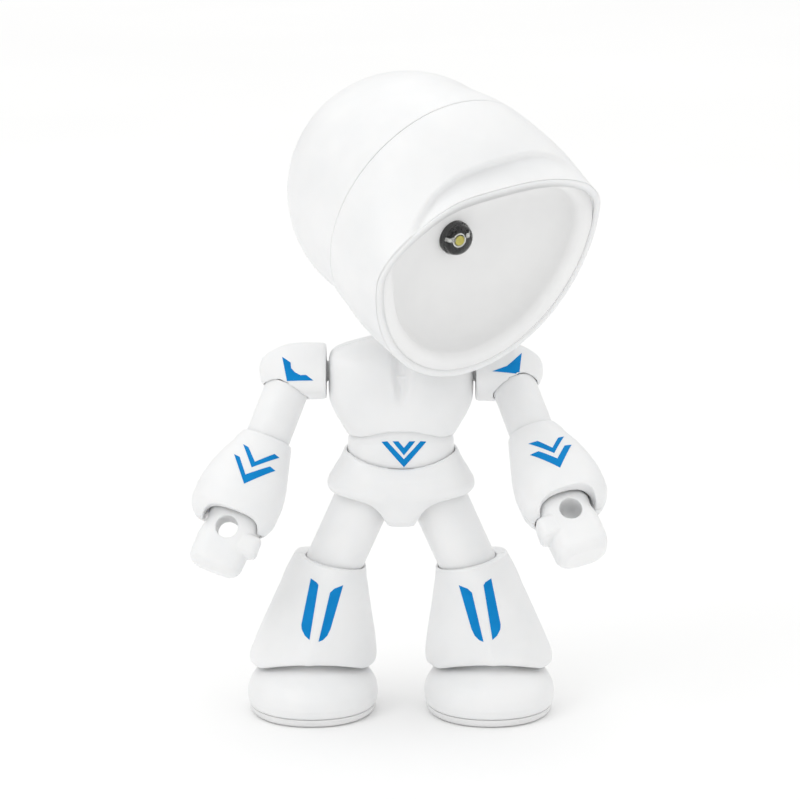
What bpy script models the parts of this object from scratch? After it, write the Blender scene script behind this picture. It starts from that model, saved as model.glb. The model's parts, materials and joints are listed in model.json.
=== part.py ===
"""A small posable robot figure whose hooded head is a battery reading light.

The robot faces -Y and stands on Z = 0. Shapes are worked out in millimetres and built in metres.
Each moving piece hangs from an empty on its joint's axis. Limb pieces are modelled along the
empty's own -Z, and "out" is the direction away from the robot's middle.
"""

import math

import bmesh
import bpy
import numpy as np

MM = 0.001
STANCE = (0.5, 11.8)

# Head: a round back dome and a hood whose wide, low mouth leans forward at the brow.
HEAD_YAW = 38.0
HEAD_PITCH = 16.5
HEAD_ROLL = -12.0
NECK_BALL_Z = 67.9
NECK_BALL_R = 3.2
SOCKET_FLANGE_R = 6.1
DOME_FROM_BALL = (0.0, -1.4, 16.8)
DOME_R = 18.1
SEAM_GAP = 0.3
SEAM_LEAN = 7.5
RIM_LEAN = 6.5
HOOD_WALL = 1.2
RIM_BAND = 2.3
BOWL_DEPTH = 9.2
LED_FLANGE_R = 2.8
LED_AHEAD = 11.6
LED_UP = -2.5
# ahead of the dome's centre, half width, height above the middle, depth below it
HEAD_ROWS = [
    (0.0, 18.1, 18.1, 18.2), (7.2, 19.2, 18.6, 19.5), (14.0, 20.7, 15.2, 20.9), (20.9, 20.6, 9.6, 22.7),
]
SEAM_AHEAD = HEAD_ROWS[1][0]
RIM_AHEAD = HEAD_ROWS[3][0]
BUTTON_RISE = 23.0
DOOR_SCREW_UP = -7.6
NECK_OPENING_R = 5.4
HEAD_COUNT = 28
TORSO_COUNT = 20
ARM_COUNT = 16
LEG_COUNT = 18

# Torso
SHOULDER_Z = 54.2
WALL = 1.2
CAP_INNER_X = 11.5
WAIST_TOP = 44.4
WAIST_FOOT = 39.9

# Legs
HIP = (5.6, 0.0, 34.6)
THIGH_R = 4.42
THIGH_LEAN = 24.0
THIGH_LENGTH = 11.6
SHIN_TOP_LEAN = 11.6
ANKLE = (13.6, 0.0, 11.6)
ANKLE_BALL_R = 2.4
FOOT_X = 13.9

# Arms: the lean is outwards and the swing is forwards, from hanging straight down.
SHOULDER_OUT = 16.6
ARM_LEANS = {"right": 20.5, "left": 18.2}
ARM_R = 3.45
ELBOW_DOWN = 11.6
SWINGS = {"right": 22.0, "left": 38.5}
GRIP_R = 1.7
GRIP_DOWN = 15.1

SIDES = {"right": -1, "left": 1}
AXLE_R = 1.0
SPLIT_GAP = 0.3
CELL_R = 5.8
CELL_HEIGHT = 5.4
CELL_COUNT = 3

MANY_CUT_SHELLS = ("chest", "pelvis", "forearm", "shin", "head", "battery_cover", "shoulder_cap", "hand")

COLOURS = {
    "white_shell": ((0.86, 0.87, 0.88), 0.42, 0.0),
    "reflector": ((0.88, 0.88, 0.87), 0.3, 0.0),
    "led_lens": ((0.75, 0.78, 0.7), 0.05, 0.0),
    "board": ((0.05, 0.22, 0.1), 0.5, 0.0),
    "steel": ((0.62, 0.62, 0.62), 0.3, 1.0),
    "black": ((0.03, 0.03, 0.03), 0.5, 0.0),
    "red_lead": ((0.55, 0.03, 0.03), 0.5, 0.0),
    "sole": ((0.8, 0.8, 0.81), 0.7, 0.0),
}


def clear_scene():
    for obj in list(bpy.data.objects):
        bpy.data.objects.remove(obj, do_unlink=True)


def make_materials():
    made = {}
    for name, (colour, roughness, metallic) in COLOURS.items():
        material = bpy.data.materials.new(name)
        material.use_nodes = True
        shader = material.node_tree.nodes["Principled BSDF"]
        shader.inputs["Base Color"].default_value = (*colour, 1.0)
        shader.inputs["Roughness"].default_value = roughness
        shader.inputs["Metallic"].default_value = metallic
        made[name] = material
    return made


def empty(name, parent=None, at=(0.0, 0.0, 0.0), turn=(0.0, 0.0, 0.0)):
    """A joint's or an assembly's frame: a place in mm and a turn in degrees, in its parent's frame."""
    obj = bpy.data.objects.new(name, None)
    bpy.context.collection.objects.link(obj)
    obj.parent = parent
    obj.location = [c * MM for c in at]
    obj.rotation_euler = [math.radians(a) for a in turn]
    return obj


# ---- outlines -------------------------------------------------------------------------------


def rounded(half_width, front, back, count, power=2.0, front_power=None):
    """A closed outline in x and y: a superellipse whose front (-y) and back half differ in depth."""
    points = []
    for step in range(count):
        angle = 2 * math.pi * step / count
        c, s = math.cos(angle), math.sin(angle)
        p = front_power if front_power and s < 0 else power
        x = half_width * math.copysign(abs(c) ** (2 / p), c)
        depth = back if s >= 0 else front
        y = depth * math.copysign(abs(s) ** (2 / p), s)
        points.append((x, y))
    return np.array(points)


def level(outline, z, centre=(0.0, 0.0)):
    """The outline as a ring at height z."""
    shifted = outline + np.array(centre)
    return np.column_stack([shifted, np.full(len(outline), z)])


def turned(profile, count):
    """Rings about the Z axis, one for each (radius, z)."""
    return [level(rounded(r, r, r, count), z) for r, z in profile]


def between(table, at):
    """Values at a station, from rows of (station, value, value...) joined by straight lines."""
    rows = np.array(table, dtype=float)
    return [float(np.interp(at, rows[:, 0], rows[:, k])) for k in range(1, rows.shape[1])]


# ---- meshes ---------------------------------------------------------------------------------


def place(name, bm, material, parent):
    """Turns a mesh in mm into an object in metres under its frame, with its faces pointing out."""
    bmesh.ops.recalc_face_normals(bm, faces=bm.faces)
    bmesh.ops.scale(bm, vec=(MM, MM, MM), verts=bm.verts)
    mesh = bpy.data.meshes.new(name)
    bm.to_mesh(mesh)
    bm.free()
    mesh.shade_smooth()
    mesh.set_sharp_from_angle(angle=math.radians(35))
    obj = bpy.data.objects.new(name, mesh)
    bpy.context.collection.objects.link(obj)
    obj.parent = parent
    if material is None:
        obj.hide_render = True
        obj.display_type = "WIRE"
    else:
        obj.data.materials.append(material)
    return obj


def loft(name, rings, material=None, parent=None):
    """A closed solid through rings of equal count, closed at both ends. No material makes a cutter."""
    bm = bmesh.new()
    rows = [[bm.verts.new(point) for point in ring] for ring in rings]
    count = len(rows[0])
    for low, high in zip(rows[:-1], rows[1:]):
        for k in range(count):
            after = (k + 1) % count
            bm.faces.new((low[k], low[after], high[after], high[k]))
    for row in (rows[0], rows[-1]):
        middle = bm.verts.new(np.mean([vert.co for vert in row], axis=0))
        for k in range(count):
            bm.faces.new((row[k], row[(k + 1) % count], middle))
    return place(name, bm, material, parent)


def rod(name, start, end, radius, count=16, material=None, parent=None):
    """A straight round bar between two points."""
    a, b = np.array(start, dtype=float), np.array(end, dtype=float)
    axis = (b - a) / np.linalg.norm(b - a)
    side = np.cross(axis, (0.0, 1.0, 0.0) if abs(axis[1]) < 0.9 else (1.0, 0.0, 0.0))
    side /= np.linalg.norm(side)
    other = np.cross(axis, side)
    turns = [2 * math.pi * k / count for k in range(count)]
    ring = np.array([radius * (math.cos(t) * side + math.sin(t) * other) for t in turns])
    return loft(name, [ring + a, ring + b], material, parent)


def ball(name, centre, radius, parent, count=20, material=None):
    bm = bmesh.new()
    bmesh.ops.create_uvsphere(bm, u_segments=count, v_segments=count // 2, radius=radius)
    bmesh.ops.translate(bm, vec=centre, verts=bm.verts)
    return place(name, bm, material, parent)


def block(name, low, high, parent=None, material=None):
    bm = bmesh.new()
    bmesh.ops.create_cube(bm, size=1.0)
    low, high = np.array(low, dtype=float), np.array(high, dtype=float)
    bmesh.ops.scale(bm, vec=high - low, verts=bm.verts)
    bmesh.ops.translate(bm, vec=(low + high) / 2, verts=bm.verts)
    return place(name, bm, material, parent)


def boolean(obj, other, operation):
    """The exact solver leaves open edges on the many-cut shells, so those use the manifold one."""
    modifier = obj.modifiers.new(f"{operation.lower()}_{other.name}", "BOOLEAN")
    modifier.operation = operation
    modifier.solver = "MANIFOLD" if obj.name.startswith(MANY_CUT_SHELLS) else "EXACT"
    modifier.object = other


def cut(obj, *cutters):
    for cutter in cutters:
        boolean(obj, cutter, "DIFFERENCE")


def add(obj, *others):
    for other in others:
        boolean(obj, other, "UNION")


def halves(front, back, parent, reach=60.0):
    """Leaves the front half of one solid and the back half of the other, a gap apart."""
    half_gap = SPLIT_GAP / 2
    rear = block(f"{front.name}_rear_cutter", (-reach, -half_gap, -reach), (reach, reach, reach), parent)
    fore = block(f"{back.name}_fore_cutter", (-reach, -reach, -reach), (reach, half_gap, reach), parent)
    cut(front, rear)
    cut(back, fore)


def screw(name, head, direction, length, head_r, shank_r, material, parent):
    """A pan-head screw: its head's outer face at a point, its shank along a direction, a drive slot."""
    way = np.array(direction, dtype=float) / np.linalg.norm(direction)
    start = np.array(head, dtype=float)
    obj = rod(name, start, start + way * head_r * 0.7, head_r, 16, material, parent)
    shank = rod(f"{name}_shank", start + way * head_r * 0.3, start + way * length, shank_r, 10, None, parent)
    add(obj, shank)
    slot_half = head_r * 0.16
    depth = head_r * 0.3
    slot = block(f"{name}_slot", (-head_r * 1.2, -depth, -slot_half), (head_r * 1.2, depth, slot_half), parent)
    slot.location = [c * MM for c in start]
    cut(obj, slot)
    return obj


# ---- head -----------------------------------------------------------------------------------


def smooth(table, at):
    """Values at a station, from rows of (station, value, value...) joined by one smooth curve."""
    rows = np.array(table, dtype=float)
    x = rows[:, 0]
    k = int(np.clip(np.searchsorted(x, at) - 1, 0, len(x) - 2))
    slopes = np.diff(rows[:, 1:], axis=0) / np.diff(x)[:, None]
    tangents = np.vstack([slopes[:1] * 0.0, (slopes[:-1] + slopes[1:]) / 2, slopes[-1:]])
    span = x[k + 1] - x[k]
    t = (at - x[k]) / span
    low, high = rows[k, 1:], rows[k + 1, 1:]
    rise = (2 * t**3 - 3 * t**2 + 1) * low + (3 * t**2 - 2 * t**3) * high
    return rise + span * ((t**3 - 2 * t**2 + t) * tangents[k] + (t**3 - t**2) * tangents[k + 1])


def head_ring(ahead, lean, inset, count=HEAD_COUNT):
    """One ring of the head, leaning forward at its top, as (x, y, z) with the face towards -y."""
    if ahead < 0.0:
        shrink = math.sqrt(max(0.0, 1 - (ahead / DOME_R) ** 2))
        wide, above, below = [value * shrink for value in HEAD_ROWS[0][1:]]
    else:
        wide, above, below = smooth(HEAD_ROWS, min(ahead, RIM_AHEAD))
    outline = rounded(wide - inset, below - inset, above - inset, count)
    x, up = outline[:, 0], outline[:, 1]
    slope = math.radians(lean)
    return np.column_stack([x, -(ahead + up * math.sin(slope)), up * math.cos(slope)])


def dome_rings(inset, steps=5):
    """The back dome's rings, from near its pole to its widest place and on past the seam."""
    scale = (DOME_R - inset) / DOME_R
    rings = []
    for step in range(steps + 1):
        angle = math.radians(5.0 + 85.0 * step / steps)
        ring = head_ring(-DOME_R * math.cos(angle), 0.0, 0.0) * scale
        rings.append(ring)
    rings += [head_ring(ahead, 0.0, inset) for ahead in (3.6, 7.2, 10.2)]
    return rings


def hood_ring(along, inset, ahead=0.0):
    """One hood ring. along is 0 at the seam and 1 at the rim, and ahead moves it past that."""
    lean = SEAM_LEAN + (RIM_LEAN - SEAM_LEAN) * along
    ring = head_ring(SEAM_AHEAD + (RIM_AHEAD - SEAM_AHEAD) * along, lean, inset)
    ring[:, 1] -= ahead
    return ring


def seam_block(name, parent):
    """Everything in front of the seam's rear edge, as a block that leans with it."""
    frame = empty(f"{name}_frame", parent, (0.0, -SEAM_AHEAD, 0.0), (SEAM_LEAN, 0.0, 0.0))
    return block(name, (-40, -60, -40), (40, SEAM_GAP / 2, 40), frame)


def make_hood(parent, skin):
    steps = [k / 5 for k in range(6)]
    outer = [hood_ring(t, 0.0) for t in steps]
    outer[0] = hood_ring(0.0, 0.0, ahead=SEAM_GAP / 2)
    hood = loft("head_front_hood", outer, skin, parent)
    inner = [hood_ring(t, HOOD_WALL) for t in steps]
    inner = [hood_ring(0.0, HOOD_WALL, ahead=-2.0), *inner, hood_ring(1.0, HOOD_WALL, ahead=2.0)]
    cut(hood, loft("hood_inside", inner, None, parent))
    return hood


def battery_window(grow, name, parent):
    """The block whose meeting with the dome is the battery door, or with room around it its opening."""
    wide, low, high = 8.6 + grow, -9.6 - grow, 2.6 + grow
    return block(name, (-wide, 9.0, low), (wide, 30.0, high), parent)


def button_point(radius):
    """A point on the power button's line, which leaves the dome high at the back."""
    angle = math.radians(BUTTON_RISE)
    return (0.0, radius * math.cos(angle), radius * math.sin(angle))


def make_back(parent, skin):
    back = loft("head_back_shell", dome_rings(0.0), skin, parent)
    hollow = dome_rings(HOOD_WALL)
    hollow[-1][:, 1] -= 2.0
    cut(back, loft("dome_inside", hollow, None, parent))
    cut(back, seam_block("seam_cutter", parent))
    cut(back, battery_window(0.0, "battery_opening", parent))
    y, up = -DOME_FROM_BALL[1], -DOME_FROM_BALL[2]
    cut(back, rod("neck_opening", (0, y, up - 8), (0, y, up + 4), NECK_OPENING_R, 20, None, parent))
    cut(back, rod("button_hole", button_point(12.0), button_point(22.0), 2.75, 16, None, parent))
    add(back, block("door_screw_tab", (-2.0, 10.8, -12.2), (2.0, 13.6, -6.4), parent))
    cut(back, rod("door_screw_pilot", (0.0, 8.0, DOOR_SCREW_UP), (0.0, 15.0, DOOR_SCREW_UP), 0.85, 10, None,
                  parent))
    return back


def make_battery_door(parent, skin):
    door = loft("battery_cover", dome_rings(0.0), skin, parent)
    cut(door, loft("door_inside", dome_rings(HOOD_WALL), None, parent))
    keep = battery_window(-0.25, "door_keep", parent)
    boolean(door, keep, "INTERSECT")
    cut(door, rod("door_screw_hole", (0.0, 10.0, DOOR_SCREW_UP), (0.0, 20.0, DOOR_SCREW_UP), 1.0, 10, None,
                  parent))
    cut(door, rod("door_screw_recess", (0.0, 15.8, DOOR_SCREW_UP), (0.0, 20.0, DOOR_SCREW_UP), 1.65, 12,
                  None, parent))
    return door


def bowl_rings(outset, back_offset, steps=5):
    """The reflector bowl's rings, from its band's inner edge to the round hole for the light."""
    rings = []
    edge = HOOD_WALL + 0.3 + RIM_BAND
    hole_r = LED_FLANGE_R + 0.3
    hole = rounded(hole_r, hole_r, hole_r, HEAD_COUNT) + np.array((0.0, LED_UP))
    _, wide, above, below = HEAD_ROWS[-1]
    for step in range(steps + 1):
        angle = math.radians(90.0) * step / steps
        inset = edge - outset * (1 - step / steps)
        mouth = rounded(wide - inset, below - inset, above - inset, HEAD_COUNT)
        outline = hole + (mouth - hole) * math.cos(angle)
        ahead = RIM_AHEAD - BOWL_DEPTH * math.sin(angle) - back_offset
        lean = math.radians(RIM_LEAN * math.cos(angle))
        x, up = outline[:, 0], outline[:, 1]
        rings.append(np.column_stack([x, -(ahead + up * math.sin(lean)), up * math.cos(lean)]))
    return rings


def make_reflector(parent, material):
    """One skin: band, bowl and hole at the front, then the same line a wall thickness behind."""
    thick = 1.0
    gap = HOOD_WALL + 0.3
    run = RIM_AHEAD - SEAM_AHEAD
    front = [hood_ring(1.0 - 0.35 / run, gap)]
    front += bowl_rings(0.0, 0.35)
    rear = bowl_rings(thick, 0.35 + thick)[::-1]
    rear.append(hood_ring(1.0 - (0.35 + thick) / run, gap))
    rings = front + rear
    bm = bmesh.new()
    rows = [[bm.verts.new(point) for point in ring] for ring in rings]
    count = len(rows[0])
    for low, high in zip(rows, rows[1:] + rows[:1]):
        for k in range(count):
            after = (k + 1) % count
            bm.faces.new((low[k], low[after], high[after], high[k]))
    return place("reflector", bm, material, parent)


def make_light(parent, materials):
    """A short round-topped diode in the bowl's hole, on a round board with a push switch behind."""
    lens = turned([(2.3, -1.3), (2.3, -0.05), (LED_FLANGE_R, 0.0), (LED_FLANGE_R, 0.9), (2.4, 0.95),
                   (2.4, 2.3), (2.1, 3.2), (1.4, 3.8), (0.5, 4.1)], 18)
    holder = empty("light_frame", parent, (0.0, -LED_AHEAD, LED_UP), (90.0, 0.0, 0.0))
    loft("led", lens, materials["led_lens"], holder)
    board = turned([(5.6, -2.7), (5.6, -1.6)], 24)
    loft("led_board", board, materials["board"], holder)
    return holder


def make_power(parent, materials):
    """Cells in a tray between two contacts, a push switch and its button."""
    tray_y, tray_up = 5.2, -2.2
    length = CELL_COUNT * CELL_HEIGHT + (CELL_COUNT - 1) * 0.1
    half = length / 2
    for k in range(CELL_COUNT):
        start = -half + k * (CELL_HEIGHT + 0.1)
        profile = [(CELL_R - 0.5, 0.0), (CELL_R, 0.4), (CELL_R, CELL_HEIGHT - 0.6),
                   (CELL_R - 0.9, CELL_HEIGHT - 0.3), (CELL_R - 0.9, CELL_HEIGHT)]
        holder = empty(f"cell_{k + 1}_frame", parent, (start, tray_y, tray_up), (0.0, 90.0, 0.0))
        loft(f"cell_{k + 1}", turned(profile, 24), materials["steel"], holder)
    tray = block("battery_tray", (-half - 1.9, tray_y - 7.4, tray_up - 6.4),
                 (half + 1.9, tray_y + 3.0, tray_up + 6.4), parent, materials["black"])
    cut(tray, rod("tray_cell_bore", (-half - 0.9, tray_y, tray_up), (half + 0.9, tray_y, tray_up),
                  CELL_R + 0.25, 28, None, parent))
    cut(tray, block("tray_mouth", (-half - 0.9, tray_y, tray_up - CELL_R - 0.25),
                    (half + 0.9, tray_y + 9.0, tray_up + CELL_R + 0.25), parent))
    block("contact_plate", (half + 0.25, tray_y - 3.0, tray_up - 3.0),
          (half + 0.6, tray_y + 2.4, tray_up + 3.0), parent, materials["steel"])
    block("contact_spring", (-half - 0.6, tray_y - 3.0, tray_up - 3.0),
          (-half - 0.25, tray_y + 2.4, tray_up + 3.0), parent, materials["steel"])
    switch = rod("power_switch", button_point(10.4), button_point(12.6), 2.6, 4, materials["black"], parent)
    add(switch, rod("switch_plunger", button_point(12.2), button_point(13.9), 1.1, 10, None, parent))
    button = rod("power_button", button_point(15.4), button_point(DOME_R + 0.9), 2.35, 20,
                 materials["sole"], parent)
    add(button, rod("button_foot", button_point(14.9), button_point(15.7), 3.1, 20, None, parent))
    return tray


def make_leads(parent, materials):
    """Two thin leads from the contacts round the tray to the diode's board."""
    for name, side, material in (("lead_red", 1, "red_lead"), ("lead_black", -1, "black")):
        points = [(side * 10.9, 1.0, 0.0), (side * 10.8, -2.2, 1.2), (side * 9.4, -5.2, 2.0),
                  (side * 6.6, -7.4, 1.4), (side * 4.4, -8.2, -0.4)]
        curve = bpy.data.curves.new(name, "CURVE")
        curve.dimensions = "3D"
        spline = curve.splines.new("POLY")
        spline.points.add(len(points) - 1)
        for target, point in zip(spline.points, points):
            target.co = [c * MM for c in point] + [1.0]
        curve.bevel_depth = 0.4 * MM
        curve.bevel_resolution = 1
        curve.use_fill_caps = True
        curve.materials.append(materials[material])
        obj = bpy.data.objects.new(name, curve)
        bpy.context.collection.objects.link(obj)
        obj.parent = parent


def make_head(materials):
    """The turning neck post, and everything that tilts on its ball."""
    turn = empty("neck_turn", None, (0.0, 0.0, NECK_BALL_Z), (0.0, 0.0, HEAD_YAW))
    post_z = -NECK_BALL_Z
    post = turned([(3.2, post_z + 55.4), (3.2, post_z + 56.2), (2.2, post_z + 56.25), (2.2, -1.0)], 16)
    neck = loft("neck_post", post, materials["white_shell"], turn)
    add(neck, ball("neck_ball", (0.0, 0.0, 0.0), NECK_BALL_R, turn, 16))
    tilt = empty("head_tilt", turn, (0.0, 0.0, 0.0), (HEAD_PITCH, 0.0, 0.0))
    roll = empty("head_roll", tilt, (0.0, 0.0, 0.0), (0.0, HEAD_ROLL, 0.0))
    cup_in, cup_out = NECK_BALL_R + 0.3, NECK_BALL_R + 1.5
    cap = [(cup_out * math.sin(math.radians(a)), cup_out * math.cos(math.radians(a))) for a in (8, 28, 48)]
    rim = [(SOCKET_FLANGE_R, 2.9), (SOCKET_FLANGE_R, 2.0), (cup_out, 1.95), (cup_out, -0.6), (4.3, -1.6)]
    cup = loft("neck_socket", turned(cap + rim, 20), materials["white_shell"], roll)
    cut(cup, ball("socket_room", (0.0, 0.0, 0.0), cup_in, roll, 16))
    dome = empty("dome", roll, DOME_FROM_BALL)
    skin = materials["white_shell"]
    make_hood(dome, skin)
    make_back(dome, skin)
    make_battery_door(dome, skin)
    make_reflector(dome, materials["reflector"])
    make_light(dome, materials)
    make_power(dome, materials)
    make_leads(dome, materials)
    steel = materials["steel"]
    screw("battery_cover_screw", (0.0, 17.0, DOOR_SCREW_UP), (0, -1, 0), 6.1, 1.4, 0.7, steel, dome)


# ---- torso ----------------------------------------------------------------------------------

# z, half width, front, back
CHEST_ROWS = [
    (44.8, 8.4, 5.7, 5.6), (46.4, 9.3, 6.2, 6.0), (48.4, 10.4, 6.6, 6.4), (50.4, 11.1, 6.8, 6.6),
    (53.0, 11.2, 6.6, 6.6), (55.4, 11.2, 6.1, 6.4), (56.8, 11.0, 5.4, 6.1), (57.7, 10.2, 4.5, 5.6),
    (58.5, 8.0, 3.6, 4.9), (59.2, 5.6, 3.0, 4.0), (59.6, 3.9, 2.8, 3.3),
]


def chest_ring(row, inset=0.0, count=TORSO_COUNT):
    z, wide, front, back = row
    ring = level(rounded(wide - inset, front - inset, back - inset, count, 3.4), z)
    if z < 46.0:
        arch = np.clip(1 - (ring[:, 0] / 7.5) ** 2, 0, 1) * (ring[:, 1] < 0)
        ring[:, 2] += 1.3 * arch
    return ring


def chest_solid(name, materials):
    solid = loft(name, [chest_ring(row) for row in CHEST_ROWS], materials["white_shell"], None)
    hollow = [(z - WALL * 0.9 if z > 56.0 else z, w, f, b) for z, w, f, b in CHEST_ROWS if z > 48.0]
    rings = [chest_ring(row, WALL) for row in hollow]
    cut(solid, loft(f"{name}_hollow", rings, None, None))
    recess = [(43.0, 8.2, 5.4, 5.4), (45.7, 8.5, 5.8, 5.7)]
    cut(solid, loft(f"{name}_recess", [chest_ring((z, w, f, b), WALL - 0.2) for z, w, f, b in recess]))
    cut(solid, rod(f"{name}_waist_bore", (0, 0, 43), (0, 0, 49), 4.35, 20))
    cut(solid, rod(f"{name}_neck_bore", (0, 0, 55), (0, 0, 62), 2.55, 16))
    cut(solid, rod(f"{name}_shoulder_bore", (-14, 0, SHOULDER_Z), (14, 0, SHOULDER_Z), 1.8, 14))
    return solid


def make_chest(materials):
    front = chest_solid("chest_front", materials)
    back = chest_solid("chest_back", materials)
    halves(front, back, None, 80.0)
    screw_z = 52.6
    add(front, rod("chest_boss", (0, -6.0, screw_z), (0, -0.4, screw_z), 1.9, 14))
    cut(front, rod("chest_pilot", (0, -4.2, screw_z), (0, 1.0, screw_z), 0.95, 10))
    add(back, rod("chest_tube", (0, 0.4, screw_z), (0, 6.0, screw_z), 2.1, 14))
    cut(back, rod("chest_clear", (0, -1.0, screw_z), (0, 9.0, screw_z), 1.05, 10))
    cut(back, rod("chest_recess", (0, 3.6, screw_z), (0, 9.0, screw_z), 1.7, 14))
    screw("chest_screw", (0, 4.9, screw_z), (0, -1, 0), 7.6, 1.4, 0.75, materials["steel"], None)


def make_waist(materials):
    """The abdomen: its foot is held in the pelvis, and its spigot carries the turning chest."""
    rows = [(WAIST_FOOT, 7.9, 5.5, 5.4), (41.8, 8.2, 5.7, 5.5), (43.6, 8.2, 5.7, 5.5), (WAIST_TOP, 7.9, 5.5, 5.3)]
    rings = [level(rounded(w, f, b, TORSO_COUNT, 2.8), z) for z, w, f, b in rows]
    abdomen = loft("abdomen", rings, materials["white_shell"], None)
    add(abdomen, block("waist_tabs", (-8.6, -2.5, WAIST_FOOT), (8.6, 2.5, WAIST_FOOT + 1.0)))
    spigot = turned([(4.0, 44.0), (4.0, 48.65), (5.0, 48.7), (5.0, 49.8), (4.6, 50.1)], 20)
    add(abdomen, loft("waist_spigot", spigot))
    cut(abdomen, rod("waist_hollow", (0, 0, 38.2), (0, 0, 52), 2.6, 14))


PELVIS_ROWS = [
    (30.6, 2.8, 5.2, 5.0), (31.4, 3.5, 5.9, 5.6), (33.0, 4.9, 6.6, 6.2), (34.3, 6.6, 7.1, 6.7),
    (35.2, 9.6, 7.4, 7.0), (35.6, 10.9, 7.5, 7.1), (36.6, 11.5, 7.6, 7.2), (38.4, 10.7, 7.3, 7.0),
    (40.2, 9.6, 6.9, 6.7), (42.0, 8.75, 6.4, 6.3),
]


def pelvis_ring(row, inset=0.0, count=TORSO_COUNT):
    z, wide, front, back = row
    ring = level(rounded(wide - inset, front - inset, back - inset, count, 2.6), z)
    if z > 41.0 and inset == 0.0:
        dip = np.clip(1 - (ring[:, 0] / 8.2) ** 2, 0, 1) * (ring[:, 1] < 0)
        ring[:, 2] -= 2.2 * dip
    elif z > 40.0 and inset == 0.0:
        dip = np.clip(1 - (ring[:, 0] / 8.6) ** 2, 0, 1) * (ring[:, 1] < 0)
        ring[:, 2] -= 1.1 * dip
    return ring


def pelvis_solid(name, materials):
    solid = loft(name, [pelvis_ring(row) for row in PELVIS_ROWS], materials["white_shell"], None)
    floor = WAIST_FOOT - 0.3
    rings = [level(rounded(w, f, b, TORSO_COUNT, 2.8), z) for z, w, f, b in
             [(floor, 8.25, 5.85, 5.75), (44.0, 8.5, 6.05, 5.8)]]
    cut(solid, loft(f"{name}_seat", rings))
    cut(solid, block(f"{name}_tab_room", (-8.9, -2.8, floor), (8.9, 2.8, WAIST_FOOT + 1.3)))
    for side, word in ((-1, "right"), (1, "left")):
        x = side * HIP[0]
        cut(solid, ball(f"{name}_socket_{word}", (x, 0, HIP[2]), THIGH_R + 0.3, None, 20))
        room = [(25.0, 6.2 + 5.2, 6.3), (31.5, 6.2 + 5.2, 6.2), (33.6, 6.2 + 4.4, 5.8), (36.3, 6.0 + 3.6, 4.6)]
        rings = []
        for z, out, deep in room:
            inner = 1.5
            outline = rounded((out - inner) / 2, deep, deep, 16, 3.0)
            rings.append(level(outline, z, (side * (out + inner) / 2, 0.0)))
        cut(solid, loft(f"{name}_leg_room_{word}", rings))
    return solid


def make_pelvis(materials):
    front = pelvis_solid("pelvis_front", materials)
    back = pelvis_solid("pelvis_back", materials)
    halves(front, back, None, 80.0)
    bore = rod("hip_bore", (-1.7, 0, HIP[2]), (1.7, 0, HIP[2]), AXLE_R + 0.12, 16)
    cut(front, bore)
    cut(back, bore)
    reach = HIP[0] + 2.6
    rod("hip_axle", (-reach, 0, HIP[2]), (reach, 0, HIP[2]), AXLE_R, 16, materials["steel"], None)
    screw_z = 32.0
    cut(front, rod("pelvis_pilot", (0, -4.4, screw_z), (0, 1.0, screw_z), 0.8, 10))
    cut(back, rod("pelvis_clear", (0, -1.0, screw_z), (0, 9.0, screw_z), 0.8, 10))
    cut(back, rod("pelvis_recess", (0, 3.6, screw_z), (0, 9.0, screw_z), 1.45, 14))
    screw("pelvis_screw", (0, 4.7, screw_z), (0, -1, 0), 7.2, 1.2, 0.6, materials["steel"], None)


# ---- arms -----------------------------------------------------------------------------------

# down the arm from the elbow, half width, half depth, centre outwards
FOREARM_ROWS = [
    (-0.25, 3.9, 3.9, 0.0), (0.5, 4.25, 4.2, 0.1), (1.9, 4.7, 4.7, 0.2), (4.3, 5.6, 5.5, 0.5),
    (7.0, 6.4, 6.2, 0.65), (9.7, 6.8, 6.6, 0.8), (12.0, 6.75, 6.6, 0.9), (13.4, 6.3, 6.2, 0.9),
    (14.4, 5.6, 5.5, 0.9), (14.9, 4.9, 4.8, 0.9),
]


def forearm_ring(down, inset, side, count=ARM_COUNT):
    wide, deep, out = between(FOREARM_ROWS, down)
    return level(rounded(wide - inset, deep - inset, deep - inset, count, 2.2), -down, (side * out, 0.0))


def forearm_solid(name, side, materials, parent):
    rings = [forearm_ring(row[0], 0.0, side) for row in FOREARM_ROWS]
    solid = loft(name, rings, materials["white_shell"], parent)
    cut(solid, rod(f"{name}_arm_bore", (0, 0, 3), (0, 0, -1.7), ARM_R + 0.3, ARM_COUNT, None, parent))
    cut(solid, rod(f"{name}_peg_bore", (0, 0, 0), (0, 0, -6), 2.3, 14, None, parent))
    chamber = [forearm_ring(down, WALL, side) for down in (3.6, 5.5, 7.9)]
    cut(solid, loft(f"{name}_chamber", chamber, None, parent))
    cut(solid, rod(f"{name}_wrist_bore", (0, 0, -6), (0, 0, -12), 2.1, 14, None, parent))
    low = [forearm_ring(down, WALL, side) for down in (9.8, 12.0)]
    mouth = turned([(4.55, -12.0), (4.55, -17.0)], ARM_COUNT)
    cut(solid, loft(f"{name}_cuff_room", low, None, parent))
    cut(solid, loft(f"{name}_cuff_mouth", mouth, None, parent))
    outline = rounded(4.1, 5.0, 3.9, ARM_COUNT, 3.2)
    arch = [np.column_stack([outline[:, 0] + side * 0.5, np.full(ARM_COUNT, y), outline[:, 1] - 15.1])
            for y in (-9.0, 9.0)]
    cut(solid, loft(f"{name}_cuff_arch", arch, None, parent))
    return solid


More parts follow.
